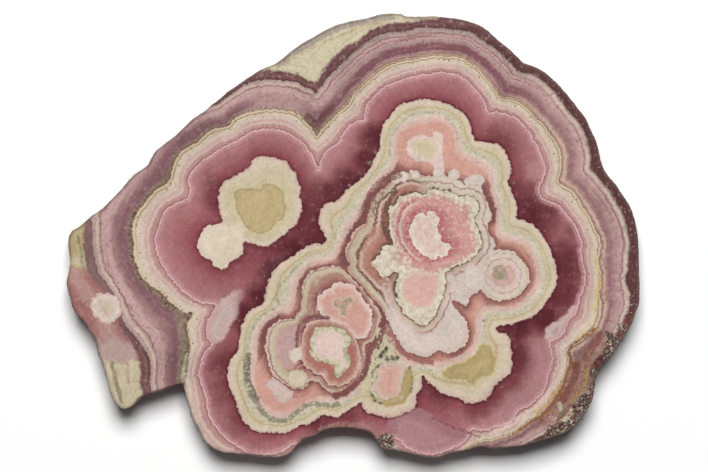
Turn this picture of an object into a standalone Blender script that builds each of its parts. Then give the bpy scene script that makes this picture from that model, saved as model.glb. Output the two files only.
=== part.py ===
"""Rhodochrosite slice: one flat slab sawn straight across a cluster of banded stalactites.

One solid in one piece.  Metres, +Z up, the polished face is on top and the slab lies flat on
its sawn back.  X is the slab's longest way, Z its thickness; the origin is the middle of the
underside of its box.
"""
import bmesh
import bpy
from mathutils import Vector, noise

MM = 0.001

# Driving sizes, in millimetres.
THICKNESS = 7.0
RIM_STEP = 1.25              # distance between facets along the rim
RIM_BULGE = 0.25             # how far the rim stands out past the outline below
POLISHED_EDGE = 0.35         # how far the polished face stops inside the widest ring
BACK_EDGE = 0.45             # the same for the sawn back
RIM_ROUGH = 0.16             # how far the natural rim wanders in and out
DRUSE_ROUGH = 0.42           # the same where small crystals cover the rim
DRUSE_CENTRE = (53.0, -31.0)
DRUSE_REACH = 17.0
ROUGH_SIZE = 3.1             # size of the bumps on the rim
ROUGH_SQUASH = 1.3           # the bumps are this much shorter up the rim than along it
FINE_BUMPS = 2.3             # finer bumps on top of them, this much smaller
FINE_SHARE = 0.5             # and this much lower
CURVE_PIECES = 16            # pieces in the curve between two points of the outline

# Heights of the rings that make the rim, as parts of the thickness, with the share of the
# polished edge (or back edge) each one is drawn in by.
RIM_RINGS = (
    (0.000, 1.00, "back"),
    (0.055, 0.35, "back"),
    (0.230, 0.05, "back"),
    (0.420, 0.00, "back"),
    (0.610, 0.00, "top"),
    (0.790, 0.10, "top"),
    (0.925, 0.45, "top"),
    (1.000, 1.00, "top"),
)

# Colour of the stone taken as a whole.
ROSE_STONE = (0.36, 0.16, 0.16, 1.0)

# The outline of the slab, in millimetres, clockwise seen from above.
WING_TOP_EDGE = [
    (-59.8, 0.3), (-58.9, 1.5), (-57.6, 2.2), (-55.4, 4.2), (-52.4, 6.3), (-51.0, 7.9),
    (-49.4, 9.4), (-46.8, 12.4), (-45.2, 13.8), (-43.3, 15.1), (-42.5, 16.7), (-41.5, 18.2),
    (-39.2, 20.0), (-36.6, 22.1),
]
LEFT_SHOULDER = [
    (-34.0, 24.6), (-31.5, 26.4), (-29.2, 28.2), (-26.0, 30.8), (-22.6, 33.2), (-19.6, 35.1),
    (-16.4, 36.5), (-15.0, 37.5), (-12.0, 39.9), (-8.4, 42.1), (-4.6, 44.1), (-1.6, 45.1),
    (2.5, 45.9), (5.0, 46.6),
]
CROWN = [
    (7.2, 46.9), (9.8, 46.9), (11.1, 46.3), (16.2, 46.4), (19.8, 46.1), (24.0, 45.3),
    (27.2, 43.9), (29.9, 41.6), (33.0, 39.2), (34.6, 37.6), (35.7, 36.4), (37.6, 35.9),
    (39.8, 34.7), (42.6, 32.3), (44.6, 30.0),
]
RIGHT_EDGE = [
    (46.9, 27.2), (48.6, 24.8), (50.2, 21.4), (51.2, 18.8), (51.8, 15.8), (53.2, 13.0),
    (54.8, 11.2), (56.4, 8.8), (58.0, 6.3), (58.8, 3.8), (59.4, 1.0), (59.7, -3.2),
    (59.8, -8.0), (59.9, -13.2),
]
DRUSY_CORNER = [
    (59.2, -15.4), (58.2, -18.2), (56.4, -21.2), (54.7, -24.0), (52.2, -26.5), (50.9, -28.8),
    (50.4, -31.6), (49.9, -34.7), (48.0, -37.2), (46.3, -39.6), (43.4, -41.4), (40.2, -42.4),
]
FOOT_RIGHT = [
    (36.0, -43.5), (32.4, -44.0), (29.0, -44.2), (26.4, -43.9), (23.4, -44.7), (20.0, -45.2),
    (17.8, -46.1), (15.2, -46.0), (11.6, -45.2), (8.2, -44.5), (6.2, -44.3), (4.8, -42.5),
    (3.4, -40.9),
]
LOWER_BAY = [
    (0.8, -40.1), (-2.6, -39.9), (-5.8, -40.2), (-8.2, -41.5), (-10.2, -42.1), (-11.8, -43.4),
    (-13.4, -45.2),
]
FOOT_LEFT = [
    (-15.4, -46.0), (-19.0, -46.0), (-22.4, -45.5), (-26.6, -45.2), (-29.2, -44.4),
    (-31.4, -42.7), (-32.6, -40.2), (-34.0, -37.9), (-34.8, -34.9), (-35.5, -32.4),
]
WING_NOTCH = [
    (-35.9, -30.6), (-37.2, -30.9), (-40.0, -31.9), (-43.4, -32.9), (-45.0, -33.7),
]
WING_END = [
    (-46.2, -35.0), (-48.2, -36.0), (-49.6, -35.4), (-50.9, -33.2), (-51.8, -30.0),
    (-52.6, -27.0), (-53.8, -24.0), (-54.2, -21.6), (-55.4, -19.8), (-56.8, -17.5),
]
WING_TIP = [
    (-58.8, -15.2), (-59.4, -13.2), (-60.2, -10.3), (-60.1, -8.2), (-59.5, -5.0),
    (-59.9, -2.4),
]
OUTLINE = (WING_TOP_EDGE + LEFT_SHOULDER + CROWN + RIGHT_EDGE + DRUSY_CORNER + FOOT_RIGHT
           + LOWER_BAY + FOOT_LEFT + WING_NOTCH + WING_END + WING_TIP)


def clear_scene():
    for thing in list(bpy.data.objects):
        bpy.data.objects.remove(thing, do_unlink=True)


def spline_point(before, start, end, after, part):
    """One point of the curve that runs from start to end through all the outline's points."""
    square = part * part
    cube = square * part
    return 0.5 * (
        2.0 * start
        + (end - before) * part
        + (2.0 * before - 5.0 * start + 4.0 * end - after) * square
        + (3.0 * start - before - 3.0 * end + after) * cube
    )


def smooth_outline(corners):
    """A closed curve through all the corners."""
    points = [Vector(corner) for corner in corners]
    count = len(points)
    curve = []
    for index in range(count):
        before = points[index - 1]
        start = points[index]
        end = points[(index + 1) % count]
        after = points[(index + 2) % count]
        for step in range(CURVE_PIECES):
            curve.append(spline_point(before, start, end, after, step / CURVE_PIECES))
    return curve


def even_steps(curve, spacing):
    """The same closed curve with its points an equal distance apart."""
    lengths = [0.0]
    for index in range(len(curve)):
        gap = (curve[(index + 1) % len(curve)] - curve[index]).length
        lengths.append(lengths[-1] + gap)
    count = round(lengths[-1] / spacing)
    even = []
    span = 0
    for number in range(count):
        want = lengths[-1] * number / count
        while lengths[span + 1] <= want:
            span += 1
        part = (want - lengths[span]) / (lengths[span + 1] - lengths[span])
        even.append(curve[span].lerp(curve[(span + 1) % len(curve)], part))
    return even


def inward_directions(rim):
    """For a clockwise rim, the direction into the stone at each point."""
    inward = []
    for index in range(len(rim)):
        along = rim[(index + 1) % len(rim)] - rim[index - 1]
        inward.append(Vector((along.y, -along.x)).normalized())
    return inward


def roughness_at(point):
    """How far the rim wanders here: more where small crystals cover it."""
    reach = (point - Vector(DRUSE_CENTRE)).length / DRUSE_REACH
    share = max(0.0, 1.0 - reach * reach)
    return RIM_ROUGH + (DRUSE_ROUGH - RIM_ROUGH) * share


def ring_points(rim, inward, height_share, drawn_in, side):
    """One ring of the rim: the outline drawn in by the edge's share and by the bumps."""
    edge = BACK_EDGE if side == "back" else POLISHED_EDGE
    height = THICKNESS * height_share
    ring = []
    for point, into in zip(rim, inward):
        place = Vector((point.x, point.y, height * ROUGH_SQUASH)) / ROUGH_SIZE
        bumps = noise.noise(place) + FINE_SHARE * noise.noise(place * FINE_BUMPS)
        moved = point + into * (edge * drawn_in + roughness_at(point) * bumps - RIM_BULGE)
        ring.append(Vector((moved.x, moved.y, height)))
    return ring


def centred(rings):
    """Shift all rings so that the middle of their box is over the origin."""
    across = [point.x for ring in rings for point in ring]
    along = [point.y for ring in rings for point in ring]
    middle = Vector((
        (min(across) + max(across)) / 2.0,
        (min(along) + max(along)) / 2.0,
        0.0,
    ))
    return [[(point - middle) * MM for point in ring] for ring in rings]


def build_slab(rings):
    """The closed skin of the slab: walls between the rings, the sawn back and the polished face."""
    shape = bmesh.new()
    layers = [[shape.verts.new(point) for point in ring] for ring in rings]
    count = len(layers[0])
    walls = []
    for lower, upper in zip(layers, layers[1:]):
        for index in range(count):
            following = (index + 1) % count
            walls.append(shape.faces.new((
                lower[following], lower[index], upper[index], upper[following],
            )))
    back = shape.faces.new(layers[0])
    polished = shape.faces.new(list(reversed(layers[-1])))
    for wall in walls:
        wall.smooth = True
    bmesh.ops.triangulate(shape, faces=[back, polished])
    mesh = bpy.data.meshes.new("rhodochrosite_slice")
    shape.to_mesh(mesh)
    shape.free()
    return mesh


def stone_material():
    material = bpy.data.materials.new("rhodochrosite")
    material.use_nodes = True
    surface = material.node_tree.nodes["Principled BSDF"]
    surface.inputs["Base Color"].default_value = ROSE_STONE
    surface.inputs["Roughness"].default_value = 0.25
    return material


def main():
    clear_scene()
    rim = even_steps(smooth_outline(OUTLINE), RIM_STEP)
    inward = inward_directions(rim)
    rings = [ring_points(rim, inward, *ring) for ring in RIM_RINGS]
    mesh = build_slab(centred(rings))
    mesh.materials.append(stone_material())
    slab = bpy.data.objects.new("rhodochrosite_slice", mesh)
    bpy.context.scene.collection.objects.link(slab)


main()
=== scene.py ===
"""Looks of the rhodochrosite slice: banded polished face, sawn back and rough natural rim.

The growth bands are drawn as closed outlines, in millimetres on the polished face.  Each
outline becomes a field of distances on the stone's mesh, and the stone's material turns
those distances into bands, hairlines and frilled crystal edges.
"""
import math

import bmesh
import bpy
import numpy as np
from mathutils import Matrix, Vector, bvhtree, geometry, kdtree, noise


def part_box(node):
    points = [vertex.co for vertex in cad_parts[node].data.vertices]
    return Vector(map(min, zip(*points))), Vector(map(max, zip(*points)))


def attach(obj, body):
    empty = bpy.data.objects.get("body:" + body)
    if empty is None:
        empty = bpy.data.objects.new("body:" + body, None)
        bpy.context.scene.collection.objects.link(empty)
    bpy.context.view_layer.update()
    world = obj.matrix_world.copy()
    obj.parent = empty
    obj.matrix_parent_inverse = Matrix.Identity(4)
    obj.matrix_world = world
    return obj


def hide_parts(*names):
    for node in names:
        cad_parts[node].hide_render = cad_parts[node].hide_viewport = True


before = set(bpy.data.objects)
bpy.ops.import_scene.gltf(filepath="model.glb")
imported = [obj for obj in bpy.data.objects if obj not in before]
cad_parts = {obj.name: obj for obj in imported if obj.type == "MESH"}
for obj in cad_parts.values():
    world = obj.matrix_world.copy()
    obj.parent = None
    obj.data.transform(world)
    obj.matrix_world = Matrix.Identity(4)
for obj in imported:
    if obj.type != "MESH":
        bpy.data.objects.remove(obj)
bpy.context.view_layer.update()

MM = 0.001
NODE = "rhodochrosite_slice"

# Middle of the slab's box in the drawing of the bands, in millimetres.
DRAWING_MIDDLE = np.array([-0.187, 0.384])

# Sizes, in millimetres.
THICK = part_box(NODE)[1][2] / MM
TOP_STEP = 0.4               # spacing of the mesh on the polished face
BACK_STEP = 0.85             # and on the sawn back
RIM_STEP = 0.42              # and along the rim
FRONT_STEP = 0.1             # spacing of the points along a front, for distances
CURVE_STEP = 0.45            # a wider one, for telling inside from outside
STROKE_STEP = 0.2            # and the one along a drawn mark
JOIN = 0.01                  # packed points closer than this are one point
EDGE_DEPTHS = np.array([0.0, 0.07, 0.22])    # first rows of the rim, down from the polished face
RIM_HEIGHTS = np.array([6.5, 5.9, 5.2, 4.5, 3.8, 3.0, 2.3, 1.6, 0.9, 0.4, 0.12, 0.0])
RAY_START = 1.5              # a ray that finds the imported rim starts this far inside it
RAY_MARGIN = 0.03            # and at least this far from the polished face and the back
FRONT_MARGIN = 0.3           # crystals follow a front from this far outside it

# How the mesh is made.
FLAT = 0.99                  # a face is flat when its normal's height is over this
ROW_GAP = math.sqrt(0.75)    # rows of even triangles, as a share of their spacing
EDGE_CLEARANCE = 0.6         # inner points keep this share of their spacing from the rim
SMOOTHED_OVER = 4            # points on each side that give the rim's direction
SHARP_ANGLE = math.radians(50)

# The natural rim: depths in millimetres, and bumps per millimetre.
RIM_GRAIN = 0.1              # depth of the grain
GRAIN_SCALE = 0.9
FINE_SCALE = 2.1             # finer grain
FINE_SHARE = 0.7             # and its share
GRAIN_SHIFT = 0.6            # raises the grain; what is still below 0 is cut off
GRAIN_SQUASH = 1.2           # bumps are this much shorter up the rim than along it
DRUSE_GRAIN = 0.5            # depth of the small crystals in the drusy corner
CRYSTAL_SCALE = 1.15
DRUSE_MIDDLE = (53.2, -31.4)
DRUSE_REACH = 17.0

# Flat maps for baking, side by side on one square.  Corners are parts of the square's side, and
# scales are parts of its side for each millimetre.
MAP_SIDE = 1024
FLAT_MAPS = {
    "top": ((0.0, 0.0), 8.2 / MAP_SIDE),
    "back": ((2 / MAP_SIDE, 790 / MAP_SIDE), 2.4 / MAP_SIDE),
}
RIM_SCALE = 7.6 / MAP_SIDE
RIM_CORNER = (306 / MAP_SIDE, 776 / MAP_SIDE)
RIM_STRIPS = 4
RIM_STRIP_HEIGHT = 61 / MAP_SIDE

# The camera looks straight down on the polished face.
PHOTO_WIDTH = 148.68         # width of the picture, in millimetres on the polished face
PHOTO_MIDDLE = (0.187, -0.069)
CAMERA_LENS = 200.0
CAMERA_SENSOR = 36.0
CAMERA_END = 10              # metres

# Studio: one soft square light from the top of the picture, a dim white world, a pale floor.
KEY_TOWARD = (0.0, 0.58, 1.0)
KEY_DISTANCE = 2.4           # metres
KEY_SIZE = 1.25              # metres
KEY_POWER = 71               # watts
WORLD_STRENGTH = 0.06
FLOOR_HALF = 1.5             # metres
FLOOR_WHITE = (0.97, 0.97, 0.97, 1)

STONE_BRIGHTNESS = 0.95      # every colour below is dimmed by this, to suit the studio light
POLISH_ROUGHNESS = 0.22
ROUGH_ROUGHNESS = 0.75       # where the stone is not polished
RELIEF = 0.4 * MM            # depth of the fine relief
SOFT_EDGE = 0.07             # half width of the edge of a zone, in millimetres
NARROWEST = 0.05             # fronts closer than this, in millimetres, count as this far apart
LINE_FULL = 0.3              # a line is at full strength over this share of its half width
LAYER_ACROSS = 1.3           # how the noise of the growth layers is squeezed across them
LAYER_ALONG = 0.12           # and stretched along them

# How far the stalactites lean across between the polished face and the back.
LEAN = np.array([0.9, -0.6])

# ---------------------------------------------------------------- outlines of the bands
# Growth fronts of the outer bands, from the outside in.  They run off the slab in places.

CRUST_OUTSIDE = [
    (-57.5, 6.0), (-56.6, 3.0), (-56.9, 0.6), (-56.8, -2.6), (-56.3, -5.5), (-55.6, -7.8),
    (-54.4, -9.4), (-53.4, -10.6), (-51.8, -12.2), (-50.6, -14.6), (-49.8, -17.2),
    (-48.6, -19.6), (-47.2, -21.6), (-46.2, -23.2), (-45.4, -25.2), (-44.9, -28.0),
    (-44.9, -31.0), (-44.6, -33.4), (-46.0, -40.0), (-30.0, -52.0), (30.0, -52.0),
    (62.0, -46.0), (66.0, 0.0), (56.0, 30.0), (35.0, 48.0), (20.0, 46.9), (17.6, 46.0),
    (15.0, 45.9), (13.0, 45.4), (10.8, 45.1), (8.8, 45.1), (6.6, 44.7), (5.0, 44.2),
    (3.4, 43.6), (2.4, 42.9), (1.4, 42.0), (0.8, 41.2), (-0.8, 40.8), (-2.0, 39.9),
    (-3.0, 39.0), (-4.0, 38.0), (-4.9, 37.0), (-5.8, 35.9), (-6.6, 35.0), (-7.2, 33.7),
    (-8.0, 32.5), (-8.9, 33.0), (-10.2, 33.4), (-11.6, 34.2), (-13.2, 34.6), (-15.0, 34.9),
    (-17.0, 35.2), (-19.2, 35.1), (-24.0, 35.6), (-40.0, 26.0),
]
CRUST_INSIDE = [
    (-54.8, 6.0), (-55.1, 3.4), (-55.0, 0.0), (-54.9, -2.8), (-54.3, -5.6), (-53.4, -8.0),
    (-52.2, -9.6), (-50.8, -11.4), (-49.8, -13.4), (-48.9, -16.4), (-48.2, -18.4),
    (-46.8, -20.0), (-45.4, -21.6), (-44.2, -23.4), (-43.2, -25.0), (-42.8, -26.6),
    (-42.9, -29.4), (-42.8, -32.6), (-44.0, -38.0), (-30.0, -50.0), (20.0, -50.0),
    (30.0, -46.0), (36.0, -43.4), (38.8, -42.0), (41.0, -40.4), (42.6, -38.6),
    (43.6, -36.4), (46.4, -34.8), (48.2, -33.4), (49.2, -31.0), (49.6, -28.4),
    (50.2, -26.4), (51.9, -25.2), (53.2, -23.6), (54.3, -21.8), (55.2, -20.2),
    (56.2, -18.4), (57.0, -16.8), (57.8, -15.2), (58.2, -13.6), (58.1, -12.0),
    (57.4, -10.0), (57.2, -8.4), (57.6, -6.4), (57.8, -4.4), (57.9, -2.0), (57.8, 0.0),
    (57.4, 1.6), (57.1, 3.6), (56.4, 5.4), (55.4, 7.0), (54.6, 8.4), (53.7, 10.1),
    (52.4, 11.5), (51.3, 12.8), (50.2, 14.0), (49.6, 14.7), (49.9, 16.8), (49.7, 18.2),
    (49.3, 19.8), (48.6, 22.0), (47.6, 23.7), (46.5, 25.1), (45.2, 26.5), (44.2, 27.8),
    (43.4, 29.2), (42.4, 30.5), (40.9, 31.9), (39.2, 33.4), (37.4, 34.3), (35.6, 34.7),
    (34.2, 35.2), (33.2, 36.4), (32.0, 37.6), (30.6, 38.9), (29.0, 40.1), (27.4, 41.3),
    (26.0, 42.3), (24.4, 43.2), (22.4, 43.6), (20.0, 43.9), (17.0, 44.1), (14.2, 44.1),
    (12.2, 43.8), (10.0, 43.3), (7.8, 43.3), (5.8, 42.9), (4.2, 42.2), (2.8, 41.2),
    (1.4, 40.3), (0.2, 39.3), (-1.0, 38.2), (-2.2, 37.1), (-3.4, 35.8), (-4.6, 34.6),
    (-5.7, 33.5), (-6.6, 32.3), (-7.3, 31.1), (-8.0, 30.3), (-8.7, 30.9), (-9.6, 31.5),
    (-10.8, 31.8), (-12.0, 32.6), (-13.6, 32.9), (-15.8, 33.0), (-17.4, 33.3),
    (-19.2, 33.1), (-21.0, 32.8), (-22.6, 32.3), (-24.4, 31.0), (-26.4, 29.7),
    (-28.4, 28.3), (-31.0, 27.2), (-40.0, 23.0),
]
BROWN_FRONT = [
    (-36.3, -30.8), (-36.4, -28.4), (-36.0, -26.4), (-35.4, -24.6), (-34.9, -23.0),
    (-35.1, -21.4), (-35.3, -19.4), (-35.0, -17.6), (-34.0, -16.3), (-34.4, -15.6),
    (-35.8, -15.9), (-37.2, -14.9), (-38.6, -13.7), (-39.6, -12.6), (-41.1, -11.2),
    (-42.8, -10.1), (-44.4, -8.8), (-45.4, -7.0), (-46.1, -5.0), (-46.5, -3.0),
    (-46.3, -1.0), (-46.7, 0.8), (-46.6, 2.8), (-46.1, 4.4), (-45.3, 5.9), (-44.1, 7.1),
    (-43.2, 8.4), (-42.1, 9.6), (-40.8, 10.7), (-39.4, 11.4), (-38.6, 12.4),
    (-38.4, 14.0), (-37.9, 15.6), (-37.2, 17.0), (-36.2, 18.3), (-34.8, 19.1),
    (-33.2, 20.0), (-31.8, 21.2), (-30.4, 22.4), (-29.0, 23.0), (-27.4, 23.2),
    (-26.2, 23.8), (-25.4, 24.8), (-24.2, 25.6), (-22.6, 26.2), (-20.6, 26.7),
    (-18.6, 27.0), (-16.6, 27.0), (-14.6, 26.8), (-12.8, 26.5), (-11.6, 25.9),
    (-10.4, 24.8), (-9.4, 23.7), (-8.6, 22.6), (-7.9, 21.3), (-7.2, 22.4), (-6.3, 23.7),
    (-5.0, 24.8), (-3.7, 25.9), (-2.3, 27.1), (-1.2, 28.5), (-0.3, 29.9), (1.0, 31.2),
    (2.4, 32.6), (4.0, 33.8), (5.5, 35.0), (7.2, 36.1), (9.2, 36.9), (11.4, 37.3),
    (13.6, 37.7), (15.4, 38.0), (17.0, 38.3), (19.0, 38.1), (21.2, 38.1), (22.8, 37.6),
    (24.4, 36.7), (26.0, 35.6), (27.2, 34.3), (28.3, 33.0), (29.3, 31.6), (30.2, 30.2),
    (30.7, 29.5), (32.0, 29.2), (33.6, 28.9), (35.0, 28.2), (36.3, 27.3), (37.6, 26.0),
    (38.8, 24.7), (40.2, 23.4), (41.2, 21.8), (42.3, 20.5), (43.2, 19.0), (43.7, 17.2),
    (43.6, 15.2), (43.5, 13.2), (43.0, 12.0), (43.8, 11.2), (45.0, 10.6), (46.2, 9.5),
    (47.4, 7.9), (48.4, 6.2), (49.4, 4.6), (50.2, 3.0), (50.9, 1.4), (51.6, 0.0),
    (51.9, -1.8), (51.8, -3.2), (51.4, -4.6), (51.6, -6.0), (52.0, -8.0), (52.0, -10.0),
    (51.7, -12.0), (52.1, -14.0), (52.0, -16.0), (51.5, -17.8), (50.6, -19.3),
    (49.5, -20.5), (48.2, -21.5), (46.9, -22.5), (45.5, -23.1), (44.9, -23.9),
    (45.2, -25.4), (45.2, -27.2), (44.6, -29.0), (43.9, -31.0), (43.1, -32.6),
    (42.0, -33.9), (41.0, -35.2), (39.8, -36.6), (38.6, -37.9), (37.0, -38.7),
    (35.9, -39.4), (34.9, -40.5), (33.6, -41.2), (32.0, -41.8), (30.4, -42.4),
    (28.4, -42.7), (26.4, -43.0), (24.8, -43.6), (23.0, -45.0), (20.0, -47.5),
    (0.0, -47.5), (-26.0, -47.5), (-33.0, -44.0), (-36.5, -36.0),
]
HAIRLINE_FRONT = [
    (-22.2, -45.3), (-23.8, -44.3), (-25.4, -43.3), (-27.0, -42.1), (-28.4, -40.7),
    (-29.5, -39.2), (-30.3, -37.6), (-30.8, -35.8), (-31.0, -34.0), (-31.6, -32.2),
    (-32.3, -30.2), (-32.7, -28.4), (-32.1, -26.4), (-31.7, -24.8), (-30.9, -23.6),
    (-30.0, -22.5), (-30.8, -21.0), (-31.1, -19.2), (-30.8, -17.4), (-30.1, -16.6),
    (-29.5, -15.2), (-29.0, -14.1), (-30.6, -13.9), (-32.4, -13.5), (-34.1, -12.6),
    (-35.8, -11.5), (-37.1, -10.0), (-38.6, -8.3), (-39.9, -6.4), (-41.0, -4.4),
    (-41.6, -2.2), (-41.8, 0.0), (-41.2, 2.0), (-40.5, 3.9), (-39.9, 5.3), (-38.9, 6.3),
    (-37.2, 7.3), (-35.5, 7.9), (-34.7, 8.8), (-34.5, 10.2), (-34.8, 11.7), (-34.6, 13.0),
    (-33.8, 14.1), (-32.8, 15.2), (-31.5, 16.4), (-30.0, 17.3), (-28.4, 18.4),
    (-26.7, 19.3), (-25.0, 20.2), (-23.3, 21.1), (-21.6, 22.1), (-19.8, 22.6),
    (-17.8, 22.8), (-16.0, 22.6), (-14.4, 22.2), (-12.9, 21.4), (-11.4, 20.4),
    (-10.0, 19.0), (-9.2, 17.8), (-8.4, 16.3), (-7.8, 15.0), (-7.4, 14.2), (-7.1, 15.6),
    (-6.6, 17.0), (-5.9, 18.1), (-4.7, 19.0), (-3.5, 19.8), (-2.9, 20.5), (-2.5, 21.8),
    (-1.5, 22.9), (-0.3, 23.9), (0.8, 24.4), (2.1, 24.6), (2.2, 26.0), (2.5, 27.6),
    (3.4, 28.8), (4.6, 30.1), (5.7, 31.1), (7.0, 31.9), (8.6, 32.6), (10.6, 33.3),
    (12.6, 33.8), (14.3, 34.2), (16.0, 34.3), (18.0, 34.7), (20.0, 34.5), (21.7, 34.2),
    (23.1, 33.4), (24.4, 32.3), (25.6, 31.0), (26.6, 29.8), (27.4, 28.6), (27.8, 27.4),
    (28.3, 26.3), (29.6, 26.4), (31.0, 26.2), (32.6, 25.7), (34.0, 25.2), (35.0, 24.3),
    (36.0, 23.2), (37.0, 22.0), (37.7, 20.6), (38.6, 19.2), (39.3, 17.5), (39.9, 15.8),
    (40.3, 14.2), (39.9, 12.8), (39.3, 11.5), (38.8, 10.3), (39.1, 9.0), (39.9, 8.0),
    (41.3, 7.5), (42.8, 6.9), (43.8, 5.9), (44.8, 4.8), (45.9, 3.3), (46.8, 1.8),
    (47.5, 0.0), (47.9, -1.6), (47.8, -3.2), (48.0, -5.0), (48.5, -7.0), (48.6, -9.0),
    (48.2, -11.0), (47.4, -12.8), (47.0, -14.6), (46.4, -16.2), (45.1, -17.5),
    (44.6, -18.8), (43.9, -20.3), (42.6, -21.4), (41.2, -21.9), (41.5, -23.4),
    (41.8, -25.0), (41.6, -26.8), (41.0, -28.4), (40.7, -30.0), (40.2, -31.6),
    (39.4, -32.9), (38.1, -34.2), (36.8, -35.3), (35.6, -35.9), (34.4, -36.3),
    (33.9, -37.3), (33.3, -38.3), (32.3, -39.0), (30.5, -39.6), (28.6, -40.2),
    (26.8, -40.5), (25.3, -40.2), (24.6, -40.4), (24.2, -41.6), (23.4, -42.7),
    (21.9, -43.7), (20.0, -44.6), (18.0, -45.2), (16.0, -45.6), (13.6, -45.2),
    (11.7, -44.4), (10.4, -43.6), (9.7, -42.7), (8.6, -42.1), (6.0, -42.8), (0.0, -42.4),
    (-6.0, -42.6), (-10.0, -43.4), (-12.4, -43.3), (-14.0, -44.3), (-15.9, -45.2),
    (-18.6, -45.6),
]

# The left stalactite: a cream ring with a rounded lobe hanging from it, and a tan heart.
LEFT_RING = [
    (-28.6, 8.0), (-28.2, 10.0), (-27.7, 11.3), (-26.6, 12.3), (-25.2, 12.9),
    (-23.8, 13.8), (-22.5, 14.5), (-21.8, 15.3), (-21.3, 16.3), (-20.4, 16.9),
    (-19.3, 17.2), (-18.0, 17.0), (-16.8, 16.9), (-15.5, 16.5), (-14.4, 16.1),
    (-13.6, 15.5), (-13.2, 14.6), (-12.4, 13.9), (-11.9, 13.0), (-11.8, 12.0),
    (-11.2, 11.0), (-11.0, 10.2), (-11.4, 9.4), (-11.1, 8.0), (-10.8, 6.4), (-11.1, 5.0),
    (-11.7, 3.6), (-12.4, 2.4), (-13.6, 1.4), (-14.6, 0.4), (-15.8, -0.4), (-17.0, -1.3),
    (-18.2, -1.9), (-20.0, -1.8), (-21.4, -1.3), (-22.9, -0.9), (-23.2, -2.0),
    (-23.4, -3.4), (-24.2, -4.3), (-25.6, -4.9), (-26.3, -5.7), (-26.9, -6.4),
    (-28.0, -6.6), (-29.1, -6.3), (-29.7, -5.4), (-30.2, -4.6), (-31.2, -4.4),
    (-31.9, -3.8), (-32.4, -2.8), (-33.0, -2.1), (-32.8, -0.8), (-32.4, 0.5),
    (-31.7, 1.7), (-30.7, 2.5), (-29.3, 2.7), (-27.8, 3.2), (-28.0, 4.6), (-28.4, 6.2),
]
LEFT_HEART = [
    (-25.0, 9.4), (-24.0, 10.1), (-22.4, 10.2), (-20.8, 10.2), (-19.6, 10.0),
    (-19.2, 10.8), (-18.0, 11.2), (-16.6, 10.9), (-15.4, 10.2), (-14.8, 9.0),
    (-14.8, 7.6), (-14.3, 6.4), (-14.6, 5.0), (-15.2, 3.8), (-16.4, 3.2), (-17.0, 2.4),
    (-17.8, 1.5), (-19.2, 0.9), (-20.6, 1.0), (-22.0, 1.8), (-22.9, 3.0), (-23.8, 4.4),
    (-24.6, 5.8), (-24.8, 7.6),
]

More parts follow.
